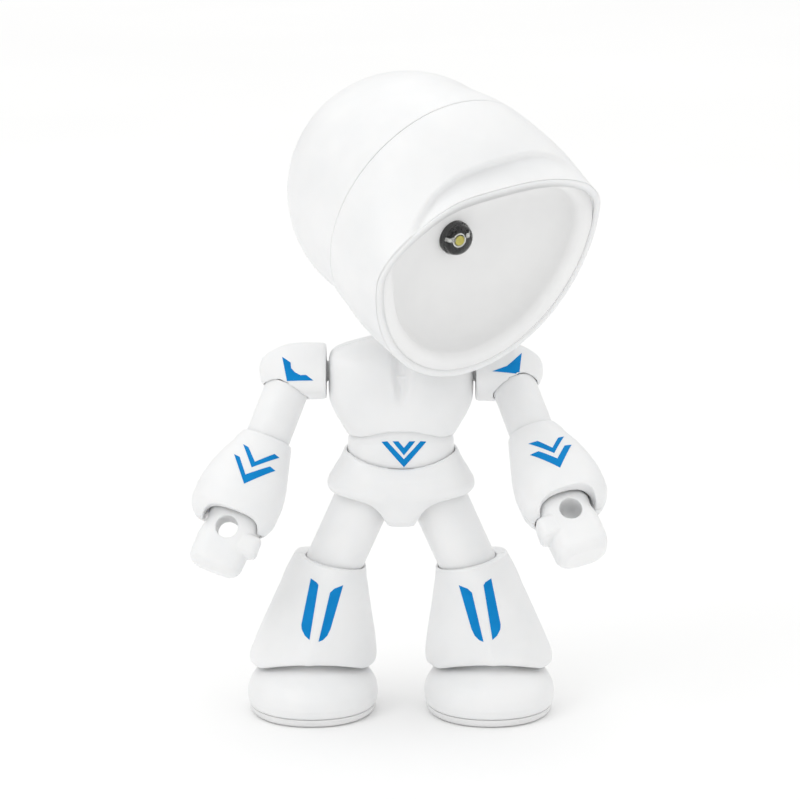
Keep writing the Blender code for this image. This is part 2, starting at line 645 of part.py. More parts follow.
def hand_rings(side):
    """down, half width, half depth, power, centre outwards"""
    rows = [(11.5, 2.6, 2.6, 2.0, 0.0), (11.9, 3.4, 3.3, 2.0, 0.0), (13.0, 4.0, 3.9, 2.2, 0.0),
            (14.6, 4.15, 4.1, 2.4, 0.0), (16.2, 4.3, 4.1, 3.0, 0.2), (18.0, 4.2, 4.1, 3.4, 0.5),
            (20.4, 4.1, 4.0, 3.4, 0.6), (21.4, 3.6, 3.5, 3.2, 0.6), (21.9, 2.8, 2.7, 3.0, 0.6)]
    return [level(rounded(w, d, d, ARM_COUNT, p), -down, (side * out, 0.0)) for down, w, d, p, out in rows]


def make_arm(word, side, materials):
    skin = materials["white_shell"]
    swing = empty(f"shoulder_swing_{word}", None, (side * CAP_INNER_X, 0, SHOULDER_Z),
                  (-SWINGS[word], 0.0, 0.0))
    # out, radius: the cap is turned about the swing axis, with its peg and flange inside the chest
    reach = SHOULDER_OUT - CAP_INNER_X
    rows = [(-3.6, 2.3), (-2.75, 2.3), (-2.7, 1.5), (0.0, 1.5), (0.05, 4.1), (1.2, 4.25), (4.2, 4.3),
            (reach + 1.6, 4.1), (reach + 3.6, 3.4), (reach + 4.9, 2.2), (reach + 5.3, 0.9)]
    rings = [np.column_stack([np.full(ARM_COUNT, side * out), rounded(r, r, r, ARM_COUNT)]) for out, r in rows]
    cap = loft(f"shoulder_cap_{word}", rings, skin, swing)
    arm = empty(f"arm_frame_{word}", swing, (side * reach, 0, 0), (0.0, -side * ARM_LEANS[word], 0.0))
    elbow = -ELBOW_DOWN
    upper = turned([(ARM_R, -2.6), (ARM_R, elbow - 1.4), (2.0, elbow - 1.45), (2.0, elbow - 3.85),
                    (3.1, elbow - 3.9), (3.1, elbow - 5.0)], ARM_COUNT)
    cut(cap, rod(f"cap_socket_{word}", (0, 0, -2.4), (0, 0, -9), ARM_R + 0.15, ARM_COUNT, None, arm))
    loft(f"upper_arm_{word}", upper, skin, arm)
    fore = empty(f"forearm_turn_{word}", arm, (0, 0, elbow))
    front = forearm_solid(f"forearm_front_{word}", side, materials, fore)
    back = forearm_solid(f"forearm_back_{word}", side, materials, fore)
    halves(front, back, fore, 40.0)
    wrist = empty(f"wrist_turn_{word}", fore)
    hand = loft(f"hand_{word}", hand_rings(side), skin, wrist)
    peg = turned([(1.8, -12.2), (1.8, -7.55), (2.7, -7.5), (2.7, -6.2)], 14)
    add(hand, loft(f"wrist_peg_{word}", peg, None, wrist))
    thumb = [level(rounded(1.5, 1.5, 1.5, 12), -down, (-side * 3.4, -1.6)) for down in (15.2, 17.3)]
    add(hand, loft(f"thumb_{word}", thumb, None, wrist))
    cut(hand, rod(f"grip_{word}", (side * 0.6, -9, -GRIP_DOWN), (side * 0.6, 9, -GRIP_DOWN), GRIP_R, 14,
                  None, wrist))


# ---- legs -----------------------------------------------------------------------------------

# height, centre outwards, half width, front, back
SHIN_ROWS = [
    (7.25, 13.9, 9.1, 8.3, 7.6), (7.6, 13.9, 9.8, 8.9, 8.2), (8.6, 13.85, 10.0, 9.1, 8.4),
    (11.1, 13.5, 9.5, 8.8, 8.1), (16.2, 12.75, 8.05, 7.9, 7.3), (21.4, 11.85, 6.5, 6.7, 6.3),
    (24.2, 11.0, 5.55, 6.0, 5.8),
]


def shin_ring(row, inset, side, count=LEG_COUNT):
    z, out, wide, front, back = row
    outline = rounded(wide - inset, front - inset, back - inset, count, 2.6, 1.7)
    ring = level(outline, z, (side * out, 0.0))
    if z > 23.0:
        ring[:, 2] += (side * ring[:, 0] - out) * math.tan(math.radians(SHIN_TOP_LEAN))
    if z < 8.0 and inset == 0.0:
        arch = np.clip(1 - ((side * ring[:, 0] - out) / 8.0) ** 2, 0, 1) * (ring[:, 1] < 0)
        ring[:, 2] += 1.5 * arch * (z < 7.5) + 1.3 * arch * (z > 7.5)
    return ring


def shin_solid(name, side, materials, knee, axis, parent):
    """Shin pieces are given in the robot's own axes, from the knee."""
    def here(rings):
        return [ring - knee for ring in rings]

    def along(down):
        return axis * down

    rows = SHIN_ROWS
    solid = loft(name, here([shin_ring(row, 0.0, side) for row in rows]), materials["white_shell"], parent)
    cut(solid, rod(f"{name}_thigh_bore", along(-4.0), along(1.9), THIGH_R + 0.3, LEG_COUNT, None, parent))
    cut(solid, rod(f"{name}_peg_bore", along(1.0), along(4.4), 2.6, 14, None, parent))
    cut(solid, rod(f"{name}_flange_room", along(4.1), along(6.4), 3.9, 16, None, parent))
    chamber = [(z, *between(SHIN_ROWS, z)) for z in (14.2, 16.2, 18.6)]
    cut(solid, loft(f"{name}_chamber", here([shin_ring(row, 1.3, side) for row in chamber]), None, parent))
    recess = [(5.0, 13.9, 10.1, 9.3, 8.6), (8.6, 13.85, 10.0, 9.1, 8.4), (9.9, 13.7, 8.8, 8.3, 7.6)]
    cut(solid, loft(f"{name}_foot_room", here([shin_ring(row, 0.7, side) for row in recess]), None, parent))
    pivot = np.array((side * ANKLE[0], 0.0, ANKLE[2])) - knee
    cut(solid, ball(f"{name}_ankle_room", pivot, ANKLE_BALL_R + 0.3, parent, 16))
    cut(solid, rod(f"{name}_stem_room", pivot, pivot - (0, 0, 4.0), 2.2, 14, None, parent))
    return solid


def make_leg(word, side, materials):
    skin = materials["white_shell"]
    lean = math.radians(THIGH_LEAN)
    axis = np.array((side * math.sin(lean), 0.0, -math.cos(lean)))
    hip = np.array((side * HIP[0], 0.0, HIP[2]))
    swing = empty(f"hip_swing_{word}", None, hip)
    thigh_frame = empty(f"thigh_frame_{word}", swing, (0, 0, 0), (0.0, -side * THIGH_LEAN, 0.0))
    cap = [(THIGH_R * math.sin(math.radians(a)), THIGH_R * math.cos(math.radians(a)))
           for a in (8, 32, 56, 74)]
    low = -THIGH_LENGTH
    rows = cap + [(THIGH_R, 0.0), (THIGH_R, low - 1.6), (2.3, low - 1.65), (2.3, low - 4.4),
                  (3.5, low - 4.45), (3.5, low - 5.6)]
    thigh = loft(f"thigh_{word}", turned(rows, LEG_COUNT), skin, thigh_frame)
    cut(thigh, rod(f"thigh_bore_{word}", (-side * 8.0, 0, 0), (side * 3.0, 0, 0), AXLE_R + 0.12, 16,
                   None, swing))
    knee = hip + axis * THIGH_LENGTH
    turn = empty(f"knee_turn_{word}", swing, knee - hip)
    front = shin_solid(f"shin_front_{word}", side, materials, knee, axis, turn)
    back = shin_solid(f"shin_back_{word}", side, materials, knee, axis, turn)
    halves(front, back, turn, 50.0)
    pivot = np.array((side * ANKLE[0], 0.0, ANKLE[2]))
    tilt = empty(f"ankle_tilt_{word}", turn, pivot - knee)
    make_foot(word, side, materials, pivot, tilt)


# height, half width, front, back
FOOT_ROWS = [
    (1.35, 9.95, 11.3, 8.9), (2.4, 10.25, 11.5, 9.1), (4.0, 10.2, 11.1, 8.9), (5.6, 9.65, 10.0, 8.2),
    (6.8, 8.7, 8.7, 7.3), (7.7, 7.3, 7.2, 6.3), (8.3, 5.4, 5.4, 5.0), (8.55, 3.2, 3.2, 3.2),
]


def make_foot(word, side, materials, pivot, parent):
    centre = (side * (FOOT_X - ANKLE[0]), 0.0)

    def rings(rows, inset=0.0):
        shapes = [(z, rounded(w - inset, f - inset, b - inset, TORSO_COUNT, 2.15)) for z, w, f, b in rows]
        return [level(outline, z - pivot[2], centre) for z, outline in shapes]

    foot = loft(f"foot_{word}", rings(FOOT_ROWS), materials["white_shell"], parent)
    stem = turned([(1.7, 8.0 - pivot[2]), (1.7, -1.0)], 12)
    add(foot, loft(f"ankle_stem_{word}", stem, None, parent))
    add(foot, ball(f"ankle_ball_{word}", (0, 0, 0), ANKLE_BALL_R, parent, 14))
    hollow = [(1.0, 10.05, 11.3, 8.9)] + [row for row in FOOT_ROWS if 2.0 < row[0] < 7.0]
    cut(foot, loft(f"foot_hollow_{word}", rings(hollow, 1.3), None, parent))
    sole = [(0.0, 9.25, 10.7, 8.2), (0.35, 9.75, 11.25, 8.7), (1.05, 9.9, 11.4, 8.85)]
    loft(f"foot_sole_{word}", rings(sole), materials["sole"], parent)


def stand_over_origin():
    """The head leans forward of the feet, so the whole robot moves until its box is over the origin."""
    for obj in bpy.data.objects:
        if obj.parent is None:
            obj.location.x += STANCE[0] * MM
            obj.location.y += STANCE[1] * MM


def main():
    clear_scene()
    materials = make_materials()
    make_head(materials)
    make_chest(materials)
    make_waist(materials)
    make_pelvis(materials)
    for word, side in SIDES.items():
        make_arm(word, side, materials)
        make_leg(word, side, materials)
    stand_over_origin()
    bpy.context.view_layer.update()


main()
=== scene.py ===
"""The finished look of a small posable robot figure whose hooded head is a battery reading light.

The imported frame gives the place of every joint. Lengths are in millimetres, about the robot's own
middle line, until a piece is finished. The robot faces -Y. A limb's own -Z runs down the limb, and
"out" is the direction away from the robot's middle.
"""

import json
import math

import bmesh
import bpy
import numpy as np
from mathutils import Euler, Matrix, Vector
from mathutils.bvhtree import BVHTree

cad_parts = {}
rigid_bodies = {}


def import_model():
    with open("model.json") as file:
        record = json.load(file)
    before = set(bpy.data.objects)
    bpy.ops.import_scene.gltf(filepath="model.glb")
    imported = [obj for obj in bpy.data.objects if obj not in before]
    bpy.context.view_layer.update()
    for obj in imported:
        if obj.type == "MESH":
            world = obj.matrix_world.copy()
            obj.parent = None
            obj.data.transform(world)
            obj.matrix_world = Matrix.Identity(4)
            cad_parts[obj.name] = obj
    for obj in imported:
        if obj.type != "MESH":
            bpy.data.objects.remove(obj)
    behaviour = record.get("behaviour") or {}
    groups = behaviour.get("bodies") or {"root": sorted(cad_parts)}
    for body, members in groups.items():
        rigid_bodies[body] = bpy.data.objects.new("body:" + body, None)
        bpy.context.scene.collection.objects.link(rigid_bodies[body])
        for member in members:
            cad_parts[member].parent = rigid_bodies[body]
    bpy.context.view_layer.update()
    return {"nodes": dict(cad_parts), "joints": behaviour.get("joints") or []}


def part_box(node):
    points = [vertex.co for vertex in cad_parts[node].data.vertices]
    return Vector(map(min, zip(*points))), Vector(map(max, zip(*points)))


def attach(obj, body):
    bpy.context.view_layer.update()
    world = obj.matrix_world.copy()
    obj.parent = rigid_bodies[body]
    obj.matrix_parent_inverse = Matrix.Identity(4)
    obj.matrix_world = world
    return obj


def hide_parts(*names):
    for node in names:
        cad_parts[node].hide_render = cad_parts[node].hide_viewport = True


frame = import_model()

MM = 0.001
SIDES = {"right": -1, "left": 1}

# Head: a round back dome and a hood whose wide, low mouth leans forward at the brow.
HEAD_YAW = 38.0
HEAD_PITCH = 16.5
HEAD_ROLL = -12.0
NECK_BALL_R = 3.2
SOCKET_FLANGE_R = 6.1
DOME_FROM_BALL = (0.0, -1.4, 16.8)
DOME_R = 18.1
SEAM_GAP = 0.1
SEAM_LEAN = 7.5
RIM_LEAN = 6.5
HOOD_WALL = 1.2
RIM_BAND = 2.3
BOWL_DEPTH = 9.2
BOWL_WALL = 1.0
BAND_ROLL = 1.5
BAND_SUNK = 0.12
BAND_GAP = 0.02
# how much further the band is sunk under the brow; how far the brow's lip swells up, and where
BROW_SUNK = 1.9
BROW_SWELL = 0.9
BROW_SWELL_ACROSS = -8.0
BROW_SWELL_HALF = 6.5
LED_FLANGE_R = 2.62
LED_R = 2.4
LED_SEAT_R = 2.36
LED_AHEAD = 11.6
LED_UP = -2.5
# ahead of the dome's centre, half width, height above the middle, depth below it
HEAD_ROWS = [
    (0.0, 18.1, 18.1, 18.2), (7.2, 19.2, 18.6, 19.5), (14.0, 20.7, 15.2, 20.9), (20.9, 20.6, 9.6, 22.7),
]
SEAM_AHEAD = HEAD_ROWS[1][0]
RIM_AHEAD = HEAD_ROWS[3][0]
# how fast the brow rises behind the rim
BROW_SLOPE = 0.75
# across the hood, how far ahead the brow's crease runs, and how deep its step is
BROW_CREASE = [
    (-15.5, 20.4, 0.3), (-12.5, 18.9, 0.8), (-9.2, 17.8, 0.98), (-2.6, 17.1, 0.98), (3.0, 17.0, 0.9),
    (11.0, 16.6, 0.65), (15.0, 17.2, 0.35), (17.5, 19.5, 0.0),
]
BUTTON_RISE = 23.0
DOOR_SCREW_UP = -7.6
NECK_OPENING_R = 5.4
THREAD_STEP = 0.35

# Torso
CAP_INNER_X = 11.5
WALL = 1.2
WAIST_FOOT = 39.9
SPLIT_GAP = 0.12
CHEST_SCREW_Z = 52.6
PELVIS_SCREW_Z = 32.0
LEG_ROOM_START = 1.5
# z, half width, front, back
CHEST_ROWS = [
    (44.8, 8.4, 5.7, 5.6), (46.4, 9.3, 6.2, 6.0), (48.4, 10.4, 6.6, 6.4), (50.4, 11.1, 6.8, 6.6),
    (53.0, 11.2, 6.6, 6.6), (55.4, 11.2, 6.1, 6.4), (56.8, 11.0, 5.4, 6.1), (57.7, 10.2, 4.5, 5.6),
    (58.5, 8.0, 3.6, 4.9), (59.2, 5.6, 3.0, 4.0), (59.6, 3.9, 2.8, 3.3),
]
PELVIS_ROWS = [
    (30.6, 2.8, 5.2, 5.0), (31.4, 3.5, 5.9, 5.6), (33.0, 4.9, 6.6, 6.2), (34.3, 6.6, 7.1, 6.7),
    (35.2, 9.6, 7.4, 7.0), (35.6, 10.9, 7.5, 7.1), (36.6, 11.5, 7.6, 7.2), (38.4, 10.7, 7.3, 7.0),
    (40.2, 9.6, 6.9, 6.7), (42.0, 8.75, 6.4, 6.3),
]
WAIST_ROWS = [
    (WAIST_FOOT, 7.9, 5.5, 5.4), (41.8, 8.2, 5.7, 5.5), (43.6, 8.2, 5.7, 5.5), (44.4, 8.0, 5.55, 5.4),
    (46.6, 7.4, 5.35, 5.1),
]
# radius, z: the abdomen's top is under this turned crown, so it turns freely under the chest
WAIST_CROWN = [(9.7, 38.0), (9.7, 43.3), (8.1, 44.45), (5.6, 46.0), (4.2, 46.25)]
CROWN_GAP = 0.16

# Legs
THIGH_R = 4.42
THIGH_LEAN = 24.0
THIGH_LENGTH = 11.6
SHIN_TOP_LEAN = 11.6
ANKLE_BALL_R = 2.4
FOOT_X = 13.9
AXLE_R = 1.0
# height, centre outwards, half width, front, back
SHIN_ROWS = [
    (7.25, 13.9, 9.1, 8.3, 7.6), (7.6, 13.9, 9.8, 8.9, 8.2), (8.6, 13.85, 10.0, 9.1, 8.4),
    (11.1, 13.5, 9.5, 8.8, 8.1), (16.2, 12.75, 8.05, 7.9, 7.3), (21.4, 11.85, 6.5, 6.7, 6.3),
    (24.2, 11.0, 5.55, 6.0, 5.8),
]
# height, half width, front, back
FOOT_ROWS = [
    (1.35, 9.95, 11.3, 8.9), (2.4, 10.25, 11.5, 9.1), (4.0, 10.1, 11.1, 8.9), (5.6, 9.35, 10.1, 8.0),
    (6.8, 8.2, 9.0, 7.0), (7.7, 6.8, 8.2, 6.0), (8.3, 5.2, 7.4, 4.8), (8.8, 3.8, 6.3, 3.5),
    (9.1, 2.6, 4.5, 2.6),
]

# Arms
SHOULDER_OUT = 16.6
ARM_LEANS = {"right": 20.5, "left": 18.2}
ARM_R = 3.45
ELBOW_DOWN = 11.6
SWINGS = {"right": 22.0, "left": 38.5}
GRIP_R = 1.7
GRIP_DOWN = 15.1
# out from the chest, squareness of the shoulder cap's section
CAP_SQUARENESS = ([0.0, 0.05, 6.0, 10.4], [2.0, 3.2, 2.9, 2.2])
# down the arm from the elbow, half width, half depth, centre outwards
FOREARM_ROWS = [
    (-0.25, 3.9, 3.9, 0.0), (0.5, 4.25, 4.2, 0.1), (1.9, 4.7, 4.7, 0.2), (4.3, 5.6, 5.5, 0.5),
    (7.0, 6.4, 6.2, 0.65), (9.7, 6.8, 6.6, 0.8), (12.0, 6.75, 6.6, 0.9), (13.4, 6.3, 6.2, 0.9),
    (14.4, 5.6, 5.5, 0.9), (14.9, 4.9, 4.8, 0.9),
]
# down the arm from the elbow, half width, half depth, squareness, centre outwards
HAND_ROWS = [
    (11.5, 3.2, 3.2, 2.2, 0.0), (11.9, 4.0, 3.9, 2.2, 0.0), (13.0, 4.35, 4.15, 2.3, 0.0),
    (14.6, 4.2, 4.1, 2.9, 0.0), (16.2, 4.3, 4.1, 3.4, 0.2), (18.0, 4.2, 4.1, 3.5, 0.5),
    (20.4, 4.1, 4.0, 3.4, 0.6), (21.4, 3.6, 3.5, 3.2, 0.6), (21.9, 2.8, 2.7, 3.0, 0.6),
]

HEAD_COUNT = 144
TORSO_COUNT = 112
LIMB_COUNT = 72
LEG_COUNT = 96
ROUND_COUNT = 64
ROW_STEP = 0.4
FINE_VOXEL = 0.14
BROAD_VOXEL = 0.17

# Printed marks, as outlines in a piece's own across and up
SHOULDER_MARKS = {
    "right": [(-6.77, 1.52), (-5.45, 0.55), (-5.35, -0.35), (-4.75, -1.0), (-3.93, -1.44), (-3.06, -1.4),
              (-1.93, -2.26), (-6.0, -2.3)],
    "left": [(7.09, 2.24), (5.64, 0.78), (4.75, -0.03), (2.48, -0.9), (6.63, -1.26)],
}
SHOULDER_MARK_TURN = -22.0
FOREARM_MARKS = {
    "right": [
        [(-2.77, -2.43), (-1.78, -2.65), (0.0, -4.51), (2.26, -2.15), (3.14, -2.4), (-0.12, -5.52)],
        [(-3.46, -4.43), (-2.46, -4.58), (-0.58, -6.91), (2.36, -4.28), (3.33, -4.57), (-0.24, -8.35)],
    ],
    "left": [
        [(-2.1, -3.28), (-0.67, -3.47), (0.94, -5.54), (2.49, -3.88), (3.5, -3.77), (0.85, -6.58)],
        [(-2.57, -5.3), (-1.21, -5.33), (0.96, -7.68), (2.89, -5.63), (4.03, -5.62), (0.78, -9.36)],
    ],
}
SHIN_MARKS = [
    [(13.99, 22.57), (13.1, 22.1), (12.78, 21.69), (14.17, 13.42), (14.9, 14.0), (15.4, 14.9),
     (15.45, 15.6)],
    [(8.96, 21.43), (10.3, 21.1), (10.98, 20.54), (12.77, 13.15), (12.1, 13.35), (11.4, 14.0),
     (10.9, 15.0)],
]
WAIST_MARKS = [
    [(-3.0, 44.2), (-2.1, 44.3), (0.45, 41.5), (3.0, 44.3), (3.9, 44.2), (0.45, 40.2)],
    [(-1.3, 44.3), (-0.4, 44.3), (0.45, 43.3), (1.3, 44.3), (2.2, 44.3), (0.45, 42.1)],
]
INK_ABOVE = 0.035
INK_THICK = 0.09

# Studio: aim and lens in mm, distance in m, and the shift as a share of the view's width
CAMERA_AIM_Z = 49.6
CAMERA_RISE = 12.0
CAMERA_DISTANCE = 0.5
CAMERA_LENS = 145.16
CAMERA_SHIFT = -0.00125
SURROUND_STRENGTH = 1.3
FLOOR_R = 4.0
HORIZON = (0.42, 0.42, 0.417)
ZENITH = (1.0, 1.0, 0.995)


# ---- frames ----


def axes(parent, at=(0.0, 0.0, 0.0), turn=(0.0, 0.0, 0.0)):
    """A frame: a place in mm and turns in degrees, in its parent's frame."""
    euler = Euler([math.radians(angle) for angle in turn], "XYZ")
    return parent @ Matrix.Translation(at) @ euler.to_matrix().to_4x4()


def joint_at(name):
    """A joint's place in mm, about the robot's middle line."""
    joint = next(joint for joint in frame["joints"] if joint["name"] == name)
    return Vector(joint["pos_m"]) / MM - MIDDLE


AXLE_MIDDLE = sum(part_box("hip_axle"), Vector()) / 2 / MM
MIDDLE = Vector((AXLE_MIDDLE.x, AXLE_MIDDLE.y, 0.0))
ROBOT = Matrix.Translation(MIDDLE)
HIP_OUT = joint_at("hip_swing_left").x
HIP_Z = AXLE_MIDDLE.z
NECK = axes(ROBOT, joint_at("head_tilt"), (0.0, 0.0, HEAD_YAW))
HEAD = axes(axes(NECK, turn=(HEAD_PITCH, 0.0, 0.0)), turn=(0.0, HEAD_ROLL, 0.0))
DOME = axes(HEAD, DOME_FROM_BALL)
LIGHT = axes(DOME, (0.0, -LED_AHEAD, LED_UP), (90.0, 0.0, 0.0))
SHOULDER_Z = joint_at("shoulder_swing_right").z
SHOULDER_REACH = SHOULDER_OUT - CAP_INNER_X
SWING, ARM, FOREARM = {}, {}, {}
for word, side in SIDES.items():
    SWING[word] = axes(ROBOT, (side * CAP_INNER_X, 0.0, SHOULDER_Z), (-SWINGS[word], 0.0, 0.0))
    ARM[word] = axes(SWING[word], (side * SHOULDER_REACH, 0.0, 0.0), (0.0, -side * ARM_LEANS[word], 0.0))
    FOREARM[word] = axes(ARM[word], (0.0, 0.0, -ELBOW_DOWN))


# ---- outlines ----


def even(points, count):
    """An open line's points, evenly spaced along it, with the last left out."""
    steps = np.linalg.norm(np.diff(points, axis=0), axis=1)
    along = np.concatenate([[0.0], np.cumsum(steps)])
    wanted = np.linspace(0.0, along[-1], count + 1)[:-1]
    return np.column_stack([np.interp(wanted, along, points[:, k]) for k in range(points.shape[1])])


def outline(half_width, front, back, count, power=2.0, front_power=None):
    """A closed outline in x and y: a superellipse whose front (-y) and back half differ in depth."""
    angles = np.linspace(0.0, math.pi, 361)
    halves = []
    for depth, p, start in ((back, power, 1), (-front, front_power or power, -1)):
        x = start * half_width * np.sign(np.cos(angles)) * np.abs(np.cos(angles)) ** (2 / p)
        y = depth * np.abs(np.sin(angles)) ** (2 / p)
        halves.append(even(np.column_stack([x, y]), count // 2))
    return np.vstack(halves)


def sweep(start, end, count):
    """Evenly spaced angles, given in degrees."""
    return np.radians(np.linspace(start, end, count))


def level(shape, z, centre=(0.0, 0.0)):
    return np.column_stack([shape + np.array(centre), np.full(len(shape), z)])


def turned(profile, count=ROUND_COUNT):
    """Rings about the Z axis, one for each (radius, z)."""
    return [level(outline(r, r, r, count), z) for r, z in profile]


def rounded_profile(profile, radius):
    """A lathe profile with each corner replaced by a short arc of three points."""
    points = [np.array(p, dtype=float) for p in profile]
    eased = [points[0]]
    for before, corner, after in zip(points[:-2], points[1:-1], points[2:]):
        into, away = before - corner, after - corner
        room = min(np.linalg.norm(into), np.linalg.norm(away)) * 0.45
        reach = min(radius, room)
        start = corner + into / np.linalg.norm(into) * reach
        end = corner + away / np.linalg.norm(away) * reach
        for t in (0.0, 0.25, 0.5, 0.75, 1.0):
            eased.append((1 - t) ** 2 * start + 2 * t * (1 - t) * corner + t**2 * end)
    return eased + [points[-1]]


def smooth(table, at, level_start=False):
    """Values at a station, from rows of (station, value, value...) joined by one smooth curve, which
    stays at its end values past the first and last rows."""
    rows = np.array(table, dtype=float)
    x = rows[:, 0]
    at = min(max(at, x[0]), x[-1])
    k = int(np.clip(np.searchsorted(x, at) - 1, 0, len(x) - 2))
    slopes = np.diff(rows[:, 1:], axis=0) / np.diff(x)[:, None]
    if level_start:
        middle = (slopes[:-1] + slopes[1:]) / 2
        tangents = np.vstack([slopes[:1] * 0.0, middle, slopes[-1:]])
    else:
        product = slopes[:-1] * slopes[1:]
        total = slopes[:-1] + slopes[1:]
        middle = np.where(product > 0, 2 * product / np.where(total == 0, 1.0, total), 0.0)
        tangents = np.vstack([slopes[:1], middle, slopes[-1:]])
    span = x[k + 1] - x[k]
    t = (at - x[k]) / span
    low, high = rows[k, 1:], rows[k + 1, 1:]
    rise = (2 * t**3 - 3 * t**2 + 1) * low + (3 * t**2 - 2 * t**3) * high
    return rise + span * ((t**3 - 2 * t**2 + t) * tangents[k] + (t**3 - t**2) * tangents[k + 1])


def stations(rows, step=ROW_STEP):
    """Every row's own station, and more between them so that none is further apart than a step."""
    found = []
    for low, high in zip(rows[:-1], rows[1:]):
        parts = max(1, math.ceil((high[0] - low[0]) / step))
        found += [low[0] + (high[0] - low[0]) * k / parts for k in range(parts)]
    return found + [rows[-1][0]]


def ease(value, low, high):
    """0 below low and 1 above high, with a smooth rise between them."""
    t = np.clip((value - low) / (high - low), 0.0, 1.0)
    return t * t * (3 - 2 * t)


# ---- solids, in mm ----


def placed(points, at):
    turn = np.array(at)
    return np.asarray(points, dtype=float) @ turn[:3, :3].T + turn[:3, 3]


def linked(name, data):
    """A new object of the scene."""
    obj = bpy.data.objects.new(name, data)
    bpy.context.collection.objects.link(obj)
    return obj


def solid(name, points, faces):
    """A closed mesh with its faces pointing out."""
    mesh = bpy.data.meshes.new(name)
    mesh.from_pydata(np.asarray(points).tolist(), [], faces)
    bm = bmesh.new()
    bm.from_mesh(mesh)
    bmesh.ops.recalc_face_normals(bm, faces=bm.faces)
    bm.to_mesh(mesh)
    bm.free()
    return linked(name, mesh)


def band(low, high, count):
    """Faces between two closed rows of points, from each row's first point."""
    turns = [(k, (k + 1) % count) for k in range(count)]
    return [(low + k, low + after, high + after, high + k) for k, after in turns]


def fan(start, middle, count):
    return [(start + k, start + (k + 1) % count, middle) for k in range(count)]


def loft(name, rings, at=ROBOT):
    """A closed solid through rings of equal count, with a fan of faces at each end."""
    rings = placed(np.array(rings), at)
    rows, count = rings.shape[:2]
    points = np.vstack([rings.reshape(-1, 3), rings[0].mean(0), rings[-1].mean(0)])
    faces = []
    for row in range(rows - 1):
        faces += band(row * count, (row + 1) * count, count)
    faces += fan(0, rows * count, count) + fan((rows - 1) * count, rows * count + 1, count)
    return solid(name, points, faces)


def rod(name, start, end, radius, at=ROBOT, count=ROUND_COUNT):
    """A straight round bar between two points."""
    a, b = np.array(start, dtype=float), np.array(end, dtype=float)
    axis = (b - a) / np.linalg.norm(b - a)
    side = np.cross(axis, (0.0, 1.0, 0.0) if abs(axis[1]) < 0.9 else (1.0, 0.0, 0.0))
    side /= np.linalg.norm(side)
    other = np.cross(axis, side)
    turns = np.linspace(0.0, 2 * math.pi, count, endpoint=False)[:, None]
    ring = radius * (np.cos(turns) * side + np.sin(turns) * other)
    return loft(name, [ring + a, ring + b], at)


def ball(name, centre, radius, at=ROBOT):
    heights = sweep(-84.0, 84.0, 29)
    rings = turned([(radius * math.cos(a), radius * math.sin(a)) for a in heights])
    return loft(name, [ring + np.array(centre, dtype=float) for ring in rings], at)


def block(name, low, high, at=ROBOT, power=12.0):
    """A block along y whose corners are slightly rounded."""
    low, high = np.array(low, dtype=float), np.array(high, dtype=float)
    middle, half = (low + high) / 2, (high - low) / 2
    shape = outline(half[0], half[2], half[2], ROUND_COUNT, power)
    rings = [np.column_stack([shape[:, 0] + middle[0], np.full(len(shape), y), shape[:, 1] + middle[2]])
             for y in (low[1], high[1])]
    return loft(name, rings, at)


def edge_steps(radius):
    """How far from a rounded edge each extra row stands, and how far it drops."""
    angles = sweep(0.0, 90.0, 5)
    return [(radius * (1 - math.cos(a)), radius * (1 - math.sin(a))) for a in angles]


def with_edge(grid, drop, radius):
    """Adds rows beside the grid's first row, and says how far each drops to round that edge."""
    span = np.linalg.norm(grid[1] - grid[0], axis=-1, keepdims=True)
    rows = [grid[0] + (grid[1] - grid[0]) * (distance / span) for distance, _ in edge_steps(radius)]
    drops = [drop[0] + fall for _, fall in edge_steps(radius)]
    return np.concatenate([rows, grid[1:]]), np.concatenate([drops, drop[1:]])


def panel(name, grid, wall, start_edge, end_edge, at, pole=False, relief=None, inside=None, facing=None):
    """A skin of one wall thickness behind a grid of rows and closed columns, its free edges rounded.
    With a pole, the first row is closed by a fan of faces. Relief is how far each point is sunk, and
    inside gives the rear skin's own rows where it isn't simply a wall behind. The grid's own side
    faces outwards, or the way that facing points in the frame."""
    grid = placed(np.array(grid), at)
    if inside is not None:
        inside = placed(np.array(inside), at)
        inside, _ = with_edge(inside, np.zeros(inside.shape[:2]), start_edge)
        inside = with_edge(inside[::-1], np.zeros(inside.shape[:2]), end_edge)[0][::-1]
    drop = np.zeros(grid.shape[:2]) if relief is None else relief
    if not pole:
        grid, drop = with_edge(grid, drop, start_edge)
    grid, drop = (side[::-1] for side in with_edge(grid[::-1], drop[::-1], end_edge))
    along = np.gradient(grid, axis=0)
    across = np.roll(grid, -1, axis=1) - np.roll(grid, 1, axis=1)
    normal = np.cross(along, across)
    normal /= np.linalg.norm(normal, axis=-1, keepdims=True)
    outward = grid - grid.mean(axis=(0, 1)) if facing is None else np.array(at.to_3x3() @ Vector(facing))
    if np.sum(normal * outward) < 0:
        normal = -normal
    rows, count = grid.shape[:2]
    front = (grid - normal * drop[..., None]).reshape(-1, 3)
    back = (grid - normal * wall if inside is None else inside).reshape(-1, 3)
    faces = []
    behind = rows * count
    for side in (0, behind):
        for row in range(rows - 1):
            faces += band(side + row * count, side + (row + 1) * count, count)
    points = np.vstack([front, back])
    for start in [(rows - 1) * count] + ([] if pole else [0]):
        faces += band(start, behind + start, count)
    if pole:
        for side in (0, behind):
            faces += fan(side, len(points), count)
            points = np.vstack([points, points[side:side + count].mean(0)])
    return solid(name, points, faces)


def bake(obj):
    """Makes the modifiers' result the mesh."""
    graph = bpy.context.evaluated_depsgraph_get()
    mesh = bpy.data.meshes.new_from_object(obj.evaluated_get(graph))
    obj.modifiers.clear()
    obj.data = mesh


